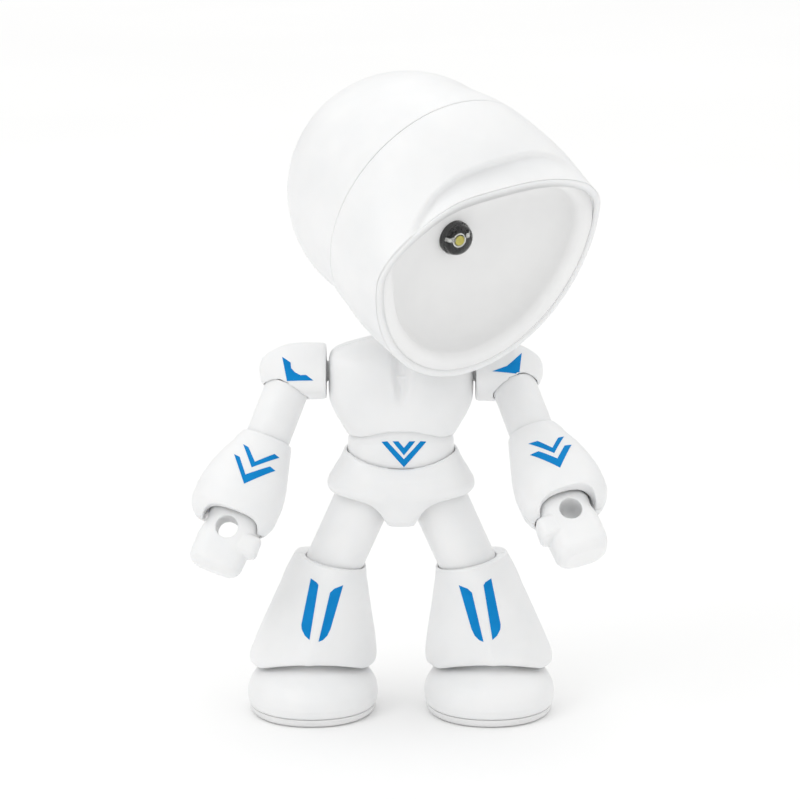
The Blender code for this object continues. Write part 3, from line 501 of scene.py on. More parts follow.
def combine(obj, operation, tools):
    for tool in tools:
        modifier = obj.modifiers.new(tool.name, "BOOLEAN")
        modifier.operation = operation
        modifier.solver = "MANIFOLD"
        modifier.object = tool
    bake(obj)
    for tool in tools:
        bpy.data.objects.remove(tool, do_unlink=True)


def cut(obj, *tools):
    combine(obj, "DIFFERENCE", tools)


def add(obj, *tools):
    combine(obj, "UNION", tools)


def copied(obj, name):
    twin = obj.copy()
    twin.data = obj.data.copy()
    twin.name = name
    bpy.context.collection.objects.link(twin)
    return twin


def halves(whole, at, reach=60.0):
    """The front and the back half of a solid, a thin gap apart."""
    half_gap = SPLIT_GAP / 2
    back = copied(whole, f"{whole.name}_back")
    cut(whole, block("rear", (-reach, -half_gap, -reach), (reach, reach, reach), at))
    cut(back, block("fore", (-reach, -reach, -reach), (reach, half_gap, reach), at))
    return whole, back


def moulded(obj, voxel=BROAD_VOXEL, passes=4):
    """Rounds every edge a little, as a mould leaves it."""
    remesh = obj.modifiers.new("even", "REMESH")
    remesh.mode = "VOXEL"
    remesh.voxel_size = voxel
    soft = obj.modifiers.new("soft", "SMOOTH")
    soft.factor = 0.5
    soft.iterations = passes
    bake(obj)
    return obj


def finish_halves(front, back, piece, body, word="", voxel=BROAD_VOXEL):
    """Finishes a piece's front and back half, each in place of its own CAD node."""
    for half, where in ((front, "front"), (back, "back")):
        node = f"{piece}_{where}{word}"
        finish(moulded(half, voxel), f"{piece}_{where}_moulding{word}", body, node)


def finish(obj, name, body, *nodes, slot="white_shell", look=None, crisp=None):
    """Turns a solid in mm into a piece that rides on its body in its CAD nodes' place. Its look is
    its slot's own unless another is named."""
    obj.name = name
    obj.data.name = name
    obj.data.transform(Matrix.Scale(MM, 4))
    obj.data.shade_smooth()
    if crisp:
        obj.data.set_sharp_from_angle(angle=math.radians(crisp))
    obj.data.materials.clear()
    obj.data.materials.append(LOOKS[look or slot])
    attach(obj, body)
    if nodes:
        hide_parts(*nodes)


# ---- materials ----


def new_material(name):
    material = bpy.data.materials.new(name)
    material.use_nodes = True
    nodes = material.node_tree.nodes
    shader = nodes["Principled BSDF"]
    place = nodes.new("ShaderNodeTexCoord")
    return material, nodes, material.node_tree.links, shader, place.outputs["Object"]


def noise(nodes, links, place, scale, detail=3.0):
    node = nodes.new("ShaderNodeTexNoise")
    node.inputs["Scale"].default_value = scale
    node.inputs["Detail"].default_value = detail
    links.new(place, node.inputs["Vector"])
    return node.outputs["Fac"]


def spread(nodes, links, value, low, high):
    """A noise's middle range spread between two values."""
    node = nodes.new("ShaderNodeMapRange")
    node.inputs["From Min"].default_value = 0.3
    node.inputs["From Max"].default_value = 0.7
    node.inputs["To Min"].default_value = low
    node.inputs["To Max"].default_value = high
    links.new(value, node.inputs["Value"])
    return node.outputs["Result"]


def tones(nodes, links, value, dark, light):
    node = nodes.new("ShaderNodeValToRGB")
    node.color_ramp.elements[0].position = 0.35
    node.color_ramp.elements[0].color = (*dark, 1.0)
    node.color_ramp.elements[1].position = 0.65
    node.color_ramp.elements[1].color = (*light, 1.0)
    links.new(value, node.inputs["Fac"])
    return node.outputs["Color"]


def grain(nodes, links, shader, value, strength, depth):
    node = nodes.new("ShaderNodeBump")
    node.inputs["Strength"].default_value = strength
    node.inputs["Distance"].default_value = depth
    links.new(value, node.inputs["Height"])
    links.new(node.outputs["Normal"], shader.inputs["Normal"])


def surface(name, dark, light, rough, metallic=0.0, grain_scale=5200.0, grain_strength=0.12, patch=120.0,
            see_through=0.0, glow=0.0):
    """A moulded or rolled surface: two close tones in soft patches, uneven gloss and a fine grain."""
    material, nodes, links, shader, place = new_material(name)
    patches = noise(nodes, links, place, patch)
    links.new(tones(nodes, links, patches, dark, light), shader.inputs["Base Color"])
    gloss = spread(nodes, links, noise(nodes, links, place, patch * 6, 4.0), *rough)
    links.new(gloss, shader.inputs["Roughness"])
    grain(nodes, links, shader, noise(nodes, links, place, grain_scale, 2.0), grain_strength, 0.00002)
    shader.inputs["Metallic"].default_value = metallic
    shader.inputs["Transmission Weight"].default_value = see_through
    if glow:
        shader.inputs["Subsurface Weight"].default_value = glow
        shader.inputs["Subsurface Radius"].default_value = (1.0, 0.9, 0.8)
        shader.inputs["Subsurface Scale"].default_value = 0.0012
    return material


def make_looks():
    made = {
        "white_shell": surface("satin_white_plastic", (0.845, 0.85, 0.855), (0.88, 0.882, 0.885),
                               (0.36, 0.46), glow=0.12),
        "reflector": surface("bowl_white_plastic", (0.86, 0.86, 0.86), (0.89, 0.89, 0.888), (0.42, 0.5),
                             grain_strength=0.06),
        "sole": surface("matt_white_rubber", (0.8, 0.8, 0.8), (0.84, 0.84, 0.84), (0.6, 0.72),
                        grain_scale=2600.0, grain_strength=0.3),
        "board": surface("green_board", (0.006, 0.04, 0.016), (0.01, 0.06, 0.025), (0.35, 0.5),
                         grain_scale=2200.0),
        "steel": surface("nickel_steel", (0.58, 0.58, 0.57), (0.66, 0.66, 0.65), (0.2, 0.34), 1.0,
                         grain_scale=3800.0),
        "cell_can": surface("cell_can_steel", (0.6, 0.6, 0.6), (0.68, 0.68, 0.68), (0.18, 0.3), 1.0,
                            grain_scale=3000.0),
        "black": surface("black_plastic", (0.012, 0.012, 0.013), (0.022, 0.022, 0.024), (0.35, 0.5)),
        "red_lead": surface("red_lead_sleeve", (0.42, 0.015, 0.012), (0.52, 0.03, 0.02), (0.35, 0.5)),
        "ink": surface("blue_print", (0.0, 0.21, 0.55), (0.002, 0.235, 0.6), (0.5, 0.6),
                       grain_strength=0.08, patch=400.0),
        "phosphor": surface("yellow_phosphor", (0.72, 0.62, 0.08), (0.86, 0.78, 0.16), (0.55, 0.7),
                            grain_scale=9000.0, patch=900.0),
        "led_lens": surface("clear_epoxy", (0.96, 0.97, 0.95), (0.99, 0.99, 0.97), (0.02, 0.05),
                            grain_strength=0.02, see_through=1.0),
    }
    made["ink"].node_tree.nodes["Principled BSDF"].inputs["Specular IOR Level"].default_value = 0.12
    made["led_lens"].node_tree.nodes["Principled BSDF"].inputs["IOR"].default_value = 1.53
    return made


LOOKS = make_looks()


# ---- head ----


def brow_swell(shape):
    """How far each point of a head outline is raised on the brow's right-hand side."""
    away = (shape[:, 0] - BROW_SWELL_ACROSS) / BROW_SWELL_HALF
    return BROW_SWELL * np.exp(-(away**2)) * (shape[:, 1] > 0)


def head_point(shape, ahead, lean):
    """An outline's points (across, up) at a distance ahead, leaning forward at its top."""
    slope = math.radians(lean)
    across, up = shape.T
    return np.column_stack([across, -(ahead + up * math.sin(slope)), up * math.cos(slope)])


def head_ring(ahead, lean, inset=0.0):
    """One ring of the head as (x, y, z), with the face towards -y."""
    if ahead < 0.0:
        shrink = math.sqrt(max(0.0, 1 - (ahead / DOME_R) ** 2))
        wide, above, below = [value * shrink for value in HEAD_ROWS[0][1:]]
    else:
        wide, above, below = smooth(HEAD_ROWS, ahead, level_start=True)
    shape = outline(wide - inset, below - inset, above - inset, HEAD_COUNT)
    shape[:, 1] += brow_swell(shape) * ease(ahead, 13.0, RIM_AHEAD)
    return head_point(shape, ahead, lean)


def dome_grid():
    """The back dome's rows, from its pole to the seam, where they lean as the hood's do."""
    poles = sweep(2.0, 90.0, 40)
    rows = [head_ring(-DOME_R * math.cos(a), 0.0) for a in poles]
    end = SEAM_AHEAD - SEAM_GAP / 2
    for part in np.linspace(0.0, 1.0, 16)[1:]:
        rows.append(head_ring(end * part, SEAM_LEAN * part))
    return rows


def hood_grid():
    """The hood's rows from the seam to the rim, the rows of its inside, and how far each point is sunk
    for the brow's crease and the visor band past it."""
    start = SEAM_AHEAD + SEAM_GAP / 2
    rows, inside, relief = [], [], []
    for part in np.linspace(0.0, 1.0, 64):
        ahead = start + (RIM_AHEAD - start) * part
        lean = SEAM_LEAN + (RIM_LEAN - SEAM_LEAN) * part
        ring = head_ring(ahead, lean)
        crease = np.array([smooth(BROW_CREASE, x) for x in ring[:, 0]])
        step = ease(ahead, crease[:, 0], crease[:, 0] + 0.7) * crease[:, 1]
        step *= 1 - 0.55 * ease(ahead, crease[:, 0] + 1.0, RIM_AHEAD)
        rows.append(ring)
        inside.append(head_ring(ahead, lean, HOOD_WALL))
        relief.append(step * ease(ring[:, 2], 0.5, 5.0))
    return rows, inside, np.array(relief)


def window(grow, name):
    """The battery door's outline as a block through the back of the dome."""
    wide, low, high = 8.6 + grow, -9.6 - grow, 2.6 + grow
    return block(name, (-wide, 9.0, low), (wide, 30.0, high), DOME, 9.0)


def button_point(radius):
    """A point on the power button's line, which leaves the dome high at the back."""
    angle = math.radians(BUTTON_RISE)
    return np.array((0.0, radius * math.cos(angle), radius * math.sin(angle)))


def make_shells():
    rows, inside, relief = hood_grid()
    hood = panel("hood", rows, HOOD_WALL, 0.14, 0.32, DOME, relief=relief, inside=inside)
    finish(hood, "hood_moulding", "head", "head_front_hood")
    back = panel("back", dome_grid(), HOOD_WALL, 0.0, 0.16, DOME, pole=True)
    door = copied(back, "door")
    y, up = -DOME_FROM_BALL[1], -DOME_FROM_BALL[2]
    cut(back, window(0.0, "opening"),
        rod("neck_hole", (0, y, up - 8), (0, y, up + 4), NECK_OPENING_R, DOME),
        rod("button_hole", button_point(12.0), button_point(22.0), 2.62, DOME))
    add(back, block("tab", (-2.0, 10.8, -12.2), (2.0, 13.6, -6.4), DOME))
    cut(back, rod("pilot", (0.0, 8.0, DOOR_SCREW_UP), (0.0, 15.0, DOOR_SCREW_UP), 0.85, DOME))
    finish(back, "back_moulding", "head", "head_back_shell", crisp=40)
    combine(door, "INTERSECT", [window(-0.18, "keep")])
    for k in range(3):
        z = 0.6 - 0.9 * k
        add(door, rod(f"rib_{k}", (-2.6, 17.75 - 0.05 * k, z), (2.6, 17.75 - 0.05 * k, z), 0.42, DOME, 24))
    cut(door, rod("screw_hole", (0.0, 10.0, DOOR_SCREW_UP), (0.0, 20.0, DOOR_SCREW_UP), 1.0, DOME),
        rod("screw_recess", (0.0, 15.8, DOOR_SCREW_UP), (0.0, 20.0, DOOR_SCREW_UP), 1.65, DOME))
    finish(door, "door_moulding", "head", "battery_cover", crisp=40)


def make_bowl():
    """The band inside the hood's rim, rolled over into the bowl, and the bowl down to its hole."""
    start = HOOD_WALL + BAND_GAP
    edge = HOOD_WALL + 0.3 + RIM_BAND
    flat = edge - BAND_ROLL
    hole = outline(LED_SEAT_R, LED_SEAT_R, LED_SEAT_R, HEAD_COUNT) + np.array((0.0, LED_UP))
    _, wide, above, below = HEAD_ROWS[-1]

    def row(inset, back, share, lean):
        mouth = outline(wide - inset, below - inset, above - inset, HEAD_COUNT)
        mouth[:, 1] += brow_swell(mouth)
        shape = hole + (mouth - hole) * share
        sunk = BROW_SUNK * ease(mouth[:, 1], -3.0, 6.0) * share
        shape[:, 1] += BROW_SLOPE * sunk
        return head_point(shape, RIM_AHEAD - BAND_SUNK - back - sunk, lean)

    rows = [row(start + (flat - start) * t, 0.0, 1.0, RIM_LEAN) for t in np.linspace(0.0, 1.0, 5)]
    for angle in sweep(0.0, 90.0, 9)[1:]:
        inset, back = flat + BAND_ROLL * math.sin(angle), BAND_ROLL * (1 - math.cos(angle))
        rows.append(row(inset, back, 1.0, RIM_LEAN))
    for angle in sweep(0.0, 90.0, 41)[1:]:
        back = BAND_ROLL + (BOWL_DEPTH - BAND_ROLL) * math.sin(angle)
        rows.append(row(edge, back, math.cos(angle), RIM_LEAN * math.cos(angle)))
    bowl = panel("reflector", rows, BOWL_WALL, 0.05, 0.2, DOME, facing=(0.0, -1.0, 0.0))
    finish(bowl, "bowl_moulding", "head", "reflector", slot="reflector")


def make_light():
    """A clear round-topped diode, with its cup, phosphor, posts and dark back seen through the lens."""
    crown = [(LED_R * math.cos(a), 1.3 + 1.5 * math.sin(a)) for a in sweep(0.0, 84.0, 15)]
    foot = rounded_profile([(2.0, -1.3), (2.3, -1.3), (2.3, 0.0), (LED_FLANGE_R, 0.0), (LED_FLANGE_R, 0.9),
                            (LED_R, 0.95), (LED_R, 1.3)], 0.08)
    lens = loft("lens", turned(foot + crown[1:]), LIGHT)
    finish(lens, "led_clear_lens", "head", "led", slot="led_lens")
    cup = turned(rounded_profile([(0.6, -0.6), (0.62, 0.5), (0.92, 1.1), (0.72, 1.12), (0.36, 0.75)], 0.05))
    finish(loft("cup", cup, LIGHT), "led_cup", "head", slot="steel")
    dot = turned(rounded_profile([(0.3, 0.72), (0.62, 1.12), (0.6, 1.22), (0.34, 1.3), (0.08, 1.32)], 0.05))
    finish(loft("dot", dot, LIGHT), "led_phosphor", "head", slot="led_lens", look="phosphor")
    bend = ((-0.9, 1.0), (0.6, 1.0), (1.15, 0.86), (1.3, 0.8))
    for name, x, half in (("led_anvil", -1.35, 0.42), ("led_post", 1.4, 0.3)):
        shape = outline(half, 0.3, 0.3, 24, 5.0)
        bar = [level(shape, z, (x * share, 0.35)) for z, share in bend]
        finish(loft(name, bar, LIGHT), name, "head", slot="steel")
    backing = turned(rounded_profile([(0.3, -1.1), (2.1, -1.1), (2.1, 0.6), (1.9, 0.65), (1.8, -0.75),
                                      (0.3, -0.8)], 0.08))
    finish(loft("backing", backing, LIGHT), "led_backing", "head", slot="black")


def make_button():
    """The push button: a dished crown with a raised ring, on a foot wider than its hole."""
    profile = [(2.9, -3.8), (3.1, -3.8), (3.1, -3.1), (2.35, -3.0), (2.35, 0.05), (2.0, 0.38), (1.7, 0.42),
               (1.5, 0.3), (0.2, 0.16)]
    rise = axes(DOME, button_point(DOME_R + 0.45), (BUTTON_RISE - 90.0, 0.0, 0.0))
    button = loft("button", turned(rounded_profile(profile, 0.18)), rise)
    finish(button, "button_moulding", "power_button", "power_button", slot="sole")


def make_neck():
    post_z = -joint_at("head_tilt").z
    post = rounded_profile([(1.0, post_z + 55.4), (3.2, post_z + 55.4), (3.2, post_z + 56.2),
                            (2.2, post_z + 56.25), (2.2, -1.0)], 0.12)
    neck = loft("post", turned(post), NECK)
    add(neck, ball("neck_ball", (0, 0, 0), NECK_BALL_R, NECK))
    finish(moulded(neck, FINE_VOXEL, 2), "neck_moulding", "neck", "neck_post")
    cup_out = NECK_BALL_R + 1.5
    cap = [(cup_out * math.sin(a), cup_out * math.cos(a)) for a in sweep(4.0, 62.0, 12)]
    rim = rounded_profile([(cup_out - 0.4, 2.95), (SOCKET_FLANGE_R, 2.9), (SOCKET_FLANGE_R, 2.0),
                           (cup_out, 1.95), (cup_out, -0.6), (4.3, -1.6)], 0.15)
    cup = loft("cup", turned([p for p in cap if p[1] > 2.95] + rim), HEAD)
    cut(cup, ball("room", (0, 0, 0), NECK_BALL_R + 0.3, HEAD))
    finish(moulded(cup, FINE_VOXEL, 2), "socket_moulding", "head", "neck_socket")


def make_screw(name, head, length, head_r, shank_r, at, body, node):
    """A pan-head screw along -y with a cross recess and a pointed shank."""
    angles = sweep(8.0, 80.0, 10)
    profile = [(head_r * math.sin(a), 0.62 * head_r * (1 - math.cos(a))) for a in angles]
    profile += [(head_r, 0.62 * head_r), (head_r, head_r * 0.8), (shank_r, head_r * 0.82)]
    for k in range(int((length - head_r - 1.2) / THREAD_STEP)):
        z = head_r + THREAD_STEP * k
        profile += [(shank_r * 0.86, z), (shank_r, z + 0.17)]
    profile += [(shank_r * 0.8, length - 0.9), (0.12, length)]
    along = axes(at, head, (90.0, 0.0, 0.0))
    screw = loft(name, turned(profile, 40), along)
    reach, thin, deep = head_r * 0.62, head_r * 0.14, head_r * 0.42
    for k, (wide, tall) in enumerate(((reach, thin), (thin, reach))):
        shape = outline(wide, tall, tall, 24, 8.0)
        cut(screw, loft(f"drive_{k}", [level(shape, -1.0), level(shape * 0.7, deep)], along))
    finish(screw, f"{node}_turned", body, node, slot="steel", crisp=50)


# ---- torso ----


def chest_ring(z, inset=0.0, detailed=False):
    wide, front, back = smooth(CHEST_ROWS, z)
    ring = level(outline(wide - inset, front - inset, back - inset, TORSO_COUNT, 3.4), z)
    if not detailed:
        return ring
    x, forward = ring[:, 0].copy(), ring[:, 1] < 0
    # a soft valley between the two sides of the chest, wide at the neck and closing below
    valley_half = 0.8 + 1.5 * np.clip((z - 50.0) / 9.0, 0, 1)
    depth = 1.25 * ease(z, 49.8, 53.5) * ease(-z, -59.4, -57.5)
    dip = 1 - ease(np.abs(x), valley_half * 0.15, valley_half)
    ring[:, 1] += forward * dip * depth
    # each side swells a little
    swell = np.exp(-(((np.abs(x) - 4.6) / 3.4) ** 2) - ((z - 53.6) / 3.2) ** 2)
    ring[:, 1] -= forward * swell * 0.45
    return ring


def drill_for_screw(front, back, z, depth_y, pilot_r, clear_r, recess_r):
    """A pilot hole in the front half, and a clear hole with a recess for the head in the back half."""
    cut(front, rod("pilot", (0, depth_y, z), (0, 1.0, z), pilot_r))
    cut(back, rod("clear", (0, -1.0, z), (0, 9.0, z), clear_r),
        rod("recess", (0, 3.6, z), (0, 9.0, z), recess_r))


def make_chest():
    chest = loft("chest", [chest_ring(z, detailed=True) for z in stations(CHEST_ROWS)])
    rings = []
    for z in stations(CHEST_ROWS, 1.0):
        if 48.3 < z < 59.3:
            ring = chest_ring(z, WALL + 0.3)
            ring[:, 2] = z - WALL * 0.9 if z > 56.0 else z
            rings.append(ring)
    crown_room = turned([(r, z + CROWN_GAP) for r, z in WAIST_CROWN])
    cut(chest, loft("hollow", rings), loft("crown_room", crown_room),
        rod("waist_bore", (0, 0, 43), (0, 0, 49), 4.35), rod("neck_bore", (0, 0, 55), (0, 0, 62), 2.55),
        rod("shoulder_bore", (-14, 0, SHOULDER_Z), (14, 0, SHOULDER_Z), 1.8))
    front, back = halves(chest, ROBOT, 80.0)
    z = CHEST_SCREW_Z
    add(front, rod("boss", (0, -5.6, z), (0, -0.4, z), 1.9))
    add(back, rod("tube", (0, 0.4, z), (0, 6.0, z), 2.1))
    drill_for_screw(front, back, z, -4.2, 0.95, 1.05, 1.7)
    finish_halves(front, back, "chest", "chest")
    make_screw("screw", (0, 4.9, z), 7.6, 1.4, 0.75, ROBOT, "chest", "chest_screw")


def make_waist():
    """The abdomen, whose turned crown and spigot turn inside the chest."""
    rings = []
    for z in stations(WAIST_ROWS, 0.3):
        wide, front, back = smooth(WAIST_ROWS, z)
        rings.append(level(outline(wide, front, back, TORSO_COUNT, 2.8), z))
    waist = loft("waist", rings)
    combine(waist, "INTERSECT", [loft("crown", turned(WAIST_CROWN))])
    add(waist, block("tabs", (-8.6, -2.5, WAIST_FOOT), (8.6, 2.5, WAIST_FOOT + 1.0)),
        loft("spigot", turned([(4.0, 44.0), (4.0, 48.65), (5.0, 48.7), (5.0, 49.8), (4.6, 50.1)])))
    cut(waist, rod("hollow", (0, 0, 38.2), (0, 0, 52), 2.6))
    finish(moulded(waist, FINE_VOXEL), "waist_moulding", "pelvis", "abdomen")


def pelvis_ring(z):
    wide, front, back = smooth(PELVIS_ROWS, z)
    ring = level(outline(wide, front, back, TORSO_COUNT, 2.8), z)
    dip = np.clip(1 - (ring[:, 0] / 8.4) ** 2, 0, 1) * (ring[:, 1] < 0)
    ring[:, 2] -= dip * np.interp(z, [38.4, 40.2, 42.0], [0.0, 1.1, 2.2])
    return ring


def make_pelvis():
    pelvis = loft("pelvis", [pelvis_ring(z) for z in stations(PELVIS_ROWS, 0.3)])
    floor = WAIST_FOOT - 0.2
    seat = [level(outline(w, f, b, TORSO_COUNT, 2.8), z) for z, w, f, b in
            [(floor, 8.1, 5.7, 5.6), (41.8, 8.35, 5.85, 5.65), (44.0, 8.35, 5.85, 5.65)]]
    cut(pelvis, loft("seat", seat), block("tab_room", (-8.9, -2.8, floor), (8.9, 2.8, WAIST_FOOT + 1.3)))
    room = [(25.0, 11.4, 6.3), (31.5, 11.4, 6.2), (33.6, 10.6, 5.8), (36.3, 9.6, 4.6)]
    for side in SIDES.values():
        rings = []
        for z, out, deep in room:
            shape = outline((out - LEG_ROOM_START) / 2, deep, deep, LIMB_COUNT, 3.0)
            rings.append(level(shape, z, (side * (out + LEG_ROOM_START) / 2, 0.0)))
        cut(pelvis, ball("socket", (side * HIP_OUT, 0, HIP_Z), THIGH_R + 0.3), loft("leg_room", rings))
    front, back = halves(pelvis, ROBOT, 80.0)
    for half in (front, back):
        cut(half, rod("hip_bore", (-1.9, 0, HIP_Z), (1.9, 0, HIP_Z), AXLE_R + 0.12))
    drill_for_screw(front, back, PELVIS_SCREW_Z, -4.4, 0.8, 0.8, 1.45)
    finish_halves(front, back, "pelvis", "pelvis")
    make_screw("screw", (0, 4.7, PELVIS_SCREW_Z), 7.2, 1.2, 0.6, ROBOT, "pelvis", "pelvis_screw")


# ---- arms ----


def forearm_ring(down, inset, side):
    wide, deep, out = smooth(FOREARM_ROWS, down)
    shape = outline(wide - inset, deep - inset, deep - inset, LIMB_COUNT, 2.2)
    return level(shape, -down, (side * out, 0.0))


def make_shoulder(word, side):
    reach = SHOULDER_REACH
    rows = [(-3.6, 2.3), (-2.75, 2.3), (-2.7, 1.5), (0.0, 1.5), (0.05, 4.0), (0.5, 4.2), (3.4, 4.3)]
    crown = [(3.4, 4.3), (reach + 0.6, 4.12), (reach + 2.4, 3.55), (reach + 3.9, 2.8), (reach + 4.9, 1.9),
             (reach + 5.3, 0.9)]
    for out in stations(crown, 0.3)[1:]:
        rows.append((out, float(smooth(crown, out)[0])))
    rings = []
    for out, radius in rows:
        shape = outline(radius, radius, radius, LIMB_COUNT, float(np.interp(out, *CAP_SQUARENESS)))
        rings.append(np.column_stack([np.full(LIMB_COUNT, side * out), shape]))
    cap = loft("cap", rings, SWING[word])
    cut(cap, rod("socket", (0, 0, -2.4), (0, 0, -9), ARM_R + 0.12, ARM[word]))
    finish(moulded(cap, FINE_VOXEL), f"cap_moulding_{word}", f"arm_{word}", f"shoulder_cap_{word}")
    elbow = -ELBOW_DOWN
    upper = rounded_profile([(1.0, -2.6), (ARM_R, -2.6), (ARM_R, elbow - 1.4), (2.0, elbow - 1.45),
                             (2.0, elbow - 3.85), (3.1, elbow - 3.9), (3.1, elbow - 5.0),
                             (1.5, elbow - 5.0)], 0.16)
    arm = loft("arm", turned(upper), ARM[word])
    finish(arm, f"upper_arm_moulding_{word}", f"arm_{word}", f"upper_arm_{word}", crisp=50)


def make_forearm(word, side):
    here = FOREARM[word]
    fore = loft("fore", [forearm_ring(down, 0.0, side) for down in stations(FOREARM_ROWS)], here)
    shape = outline(4.35, 5.0, 2.6, ROUND_COUNT, 3.6)
    arch = [np.column_stack([shape[:, 0] + side * 0.4, np.full(len(shape), y), shape[:, 1] - 15.1])
            for y in (-9.0, 9.0)]
    cut(fore, rod("arm_bore", (0, 0, 3), (0, 0, -1.7), ARM_R + 0.14, here),
        rod("peg_bore", (0, 0, 0), (0, 0, -6), 2.3, here),
        loft("chamber", [forearm_ring(down, WALL, side) for down in (3.6, 5.5, 7.9)], here),
        rod("wrist_bore", (0, 0, -6), (0, 0, -12), 2.1, here),
        loft("cuff_room", [forearm_ring(down, WALL, side) for down in (9.8, 12.0)], here),
        loft("cuff_mouth", turned([(4.7, -11.9), (4.7, -17.0)]), here), loft("cuff_arch", arch, here))
    front, back = halves(fore, here, 40.0)
    finish_halves(front, back, "forearm", f"forearm_{word}", f"_{word}", FINE_VOXEL)


def make_hand(word, side):
    """A fist: a rounded block with a bump for the thumb and a hole to grip a rod."""
    here = FOREARM[word]
    rings = []
    for down in stations(HAND_ROWS, 0.25):
        wide, deep, power, out = smooth(HAND_ROWS, down)
        rings.append(level(outline(wide, deep, deep, LIMB_COUNT, power), -down, (side * out, 0.0)))
    hand = loft("hand", rings, here)
    peg = turned([(1.8, -12.2), (1.8, -7.55), (2.7, -7.5), (2.7, -6.2)])
    thumb = [(14.85, 1.5), (15.05, 1.85), (15.4, 2.0), (17.6, 2.05), (18.1, 1.8), (18.35, 1.2)]
    rings = [level(outline(r, r * 1.25, r * 1.25, 48, 3.8), -down, (-side * 3.0, -1.5))
             for down, r in thumb]
    add(hand, loft("peg", peg, here), loft("thumb", rings, here))
    cut(hand, rod("grip", (side * 0.6, -9, -GRIP_DOWN), (side * 0.6, 9, -GRIP_DOWN), GRIP_R, here))
    body = f"hand_{word}"
    finish(moulded(hand, FINE_VOXEL, 5), f"hand_moulding_{word}", body, body)


# ---- legs ----


def shin_ring(z, inset, side, detailed=False):
    out, wide, front, back = smooth(SHIN_ROWS, z)
    shape = outline(wide - inset, front - inset, back - inset, LEG_COUNT, 2.6, 1.7)
    ring = level(shape, z, (side * out, 0.0))
    across = side * ring[:, 0] - out
    if z > 20.0:
        ring[:, 2] += across * math.tan(math.radians(SHIN_TOP_LEAN)) * min(1.0, (z - 20.0) / 4.2)
    if detailed:
        arch = np.clip(1 - (across / 8.0) ** 2, 0, 1) * (ring[:, 1] < 0)
        ring[:, 2] += 2.0 * arch * np.clip((12.4 - z) / 5.15, 0, 1)
        ridge = np.exp(-(((across - 0.4) / 0.75) ** 2)) * (ring[:, 1] < 0)
        ring[:, 1] -= 0.3 * ridge * (1 - ease(z, 12.0, 18.0))
    return ring


def make_leg(word, side):
    lean = math.radians(THIGH_LEAN)
    axis = np.array((side * math.sin(lean), 0.0, -math.cos(lean)))
    hip = np.array((side * HIP_OUT, 0.0, HIP_Z))
    thigh_frame = axes(ROBOT, hip, (0.0, -side * THIGH_LEAN, 0.0))
    cap = [(THIGH_R * math.sin(a), THIGH_R * math.cos(a)) for a in sweep(4.0, 88.0, 22)]
    low = -THIGH_LENGTH
    rest = rounded_profile([(THIGH_R, 0.0), (THIGH_R, low - 1.6), (2.3, low - 1.65), (2.3, low - 4.4),
                            (3.5, low - 4.45), (3.5, low - 5.6), (1.5, low - 5.6)], 0.16)
    thigh = loft("thigh", turned(cap + rest), thigh_frame)
    bore_start, bore_end = (side * (HIP_OUT - 8.0), 0, HIP_Z), (side * (HIP_OUT + 3.0), 0, HIP_Z)
    cut(thigh, rod("bore", bore_start, bore_end, AXLE_R + 0.12))
    finish(thigh, f"thigh_moulding_{word}", f"thigh_{word}", f"thigh_{word}", crisp=50)
    knee = hip + axis * THIGH_LENGTH
    knee_frame = axes(ROBOT, knee)
    shin = loft("shin", [shin_ring(z, 0.0, side, True) for z in stations(SHIN_ROWS)])
    ankle = np.array(joint_at(f"ankle_tilt_{word}"))
    recess = [shin_ring(z, inset, side) for z, inset in ((8.0, 0.7), (8.6, 0.75), (9.2, 1.1), (9.9, 1.9))]
    recess.insert(0, recess[0] - (0, 0, 3.0))
    cut(shin, rod("thigh_bore", axis * -4.0, axis * 1.9, THIGH_R + 0.16, knee_frame),
        rod("peg_bore", axis * 1.0, axis * 4.4, 2.6, knee_frame),
        rod("flange_room", axis * 4.1, axis * 6.4, 3.9, knee_frame),
        loft("chamber", [shin_ring(z, 1.5, side) for z in (14.2, 16.2, 18.6)]), loft("foot_room", recess),
        ball("ankle_room", ankle, ANKLE_BALL_R + 0.3), rod("stem_room", ankle, ankle - (0, 0, 4.0), 2.2))
    front, back = halves(shin, ROBOT)
    finish_halves(front, back, "shin", f"shin_{word}", f"_{word}")
    make_foot(word, side, ankle)


def make_foot(word, side, ankle):
    """A low dome on a sole, with a fine welt round its foot and the ankle's ball on a stem."""
    centre = (side * FOOT_X, 0.0)

    def rings(rows, inset=0.0):
        return [level(outline(w - inset, f - inset, b - inset, LEG_COUNT, 2.15), z, centre)
                for z, w, f, b in rows]

    rows = []
    for z in stations(FOOT_ROWS, 0.22):
        groove = 0.09 * math.exp(-(((z - 2.25) / 0.16) ** 2))
        wide, front, back = smooth(FOOT_ROWS, z)
        rows.append((z, wide - groove, front - groove, back - groove))
    foot = loft("foot", rings(rows))
    add(foot, rod("stem", (*ankle[:2], 8.0), (*ankle[:2], ankle[2] - 1.0), 1.7),
        ball("ball", ankle, ANKLE_BALL_R))
    hollow = [(1.0, 10.05, 11.3, 8.9)] + [row for row in FOOT_ROWS if 2.0 < row[0] < 7.0]
    cut(foot, loft("hollow", rings(hollow, 1.4)))
    finish(moulded(foot), f"foot_moulding_{word}", f"foot_{word}", f"foot_{word}")
    tread = [(0.0, 9.05, 10.5, 8.0), (0.06, 9.3, 10.75, 8.25), (0.35, 9.7, 11.2, 8.65),
             (0.6, 9.88, 11.35, 8.8), (1.16, 9.9, 11.4, 8.85), (1.24, 9.8, 11.3, 8.75)]
    sole = loft("sole", rings(tread))
    finish(sole, f"sole_moulding_{word}", f"foot_{word}", f"foot_sole_{word}", slot="sole", crisp=50)


# ---- printed marks ----


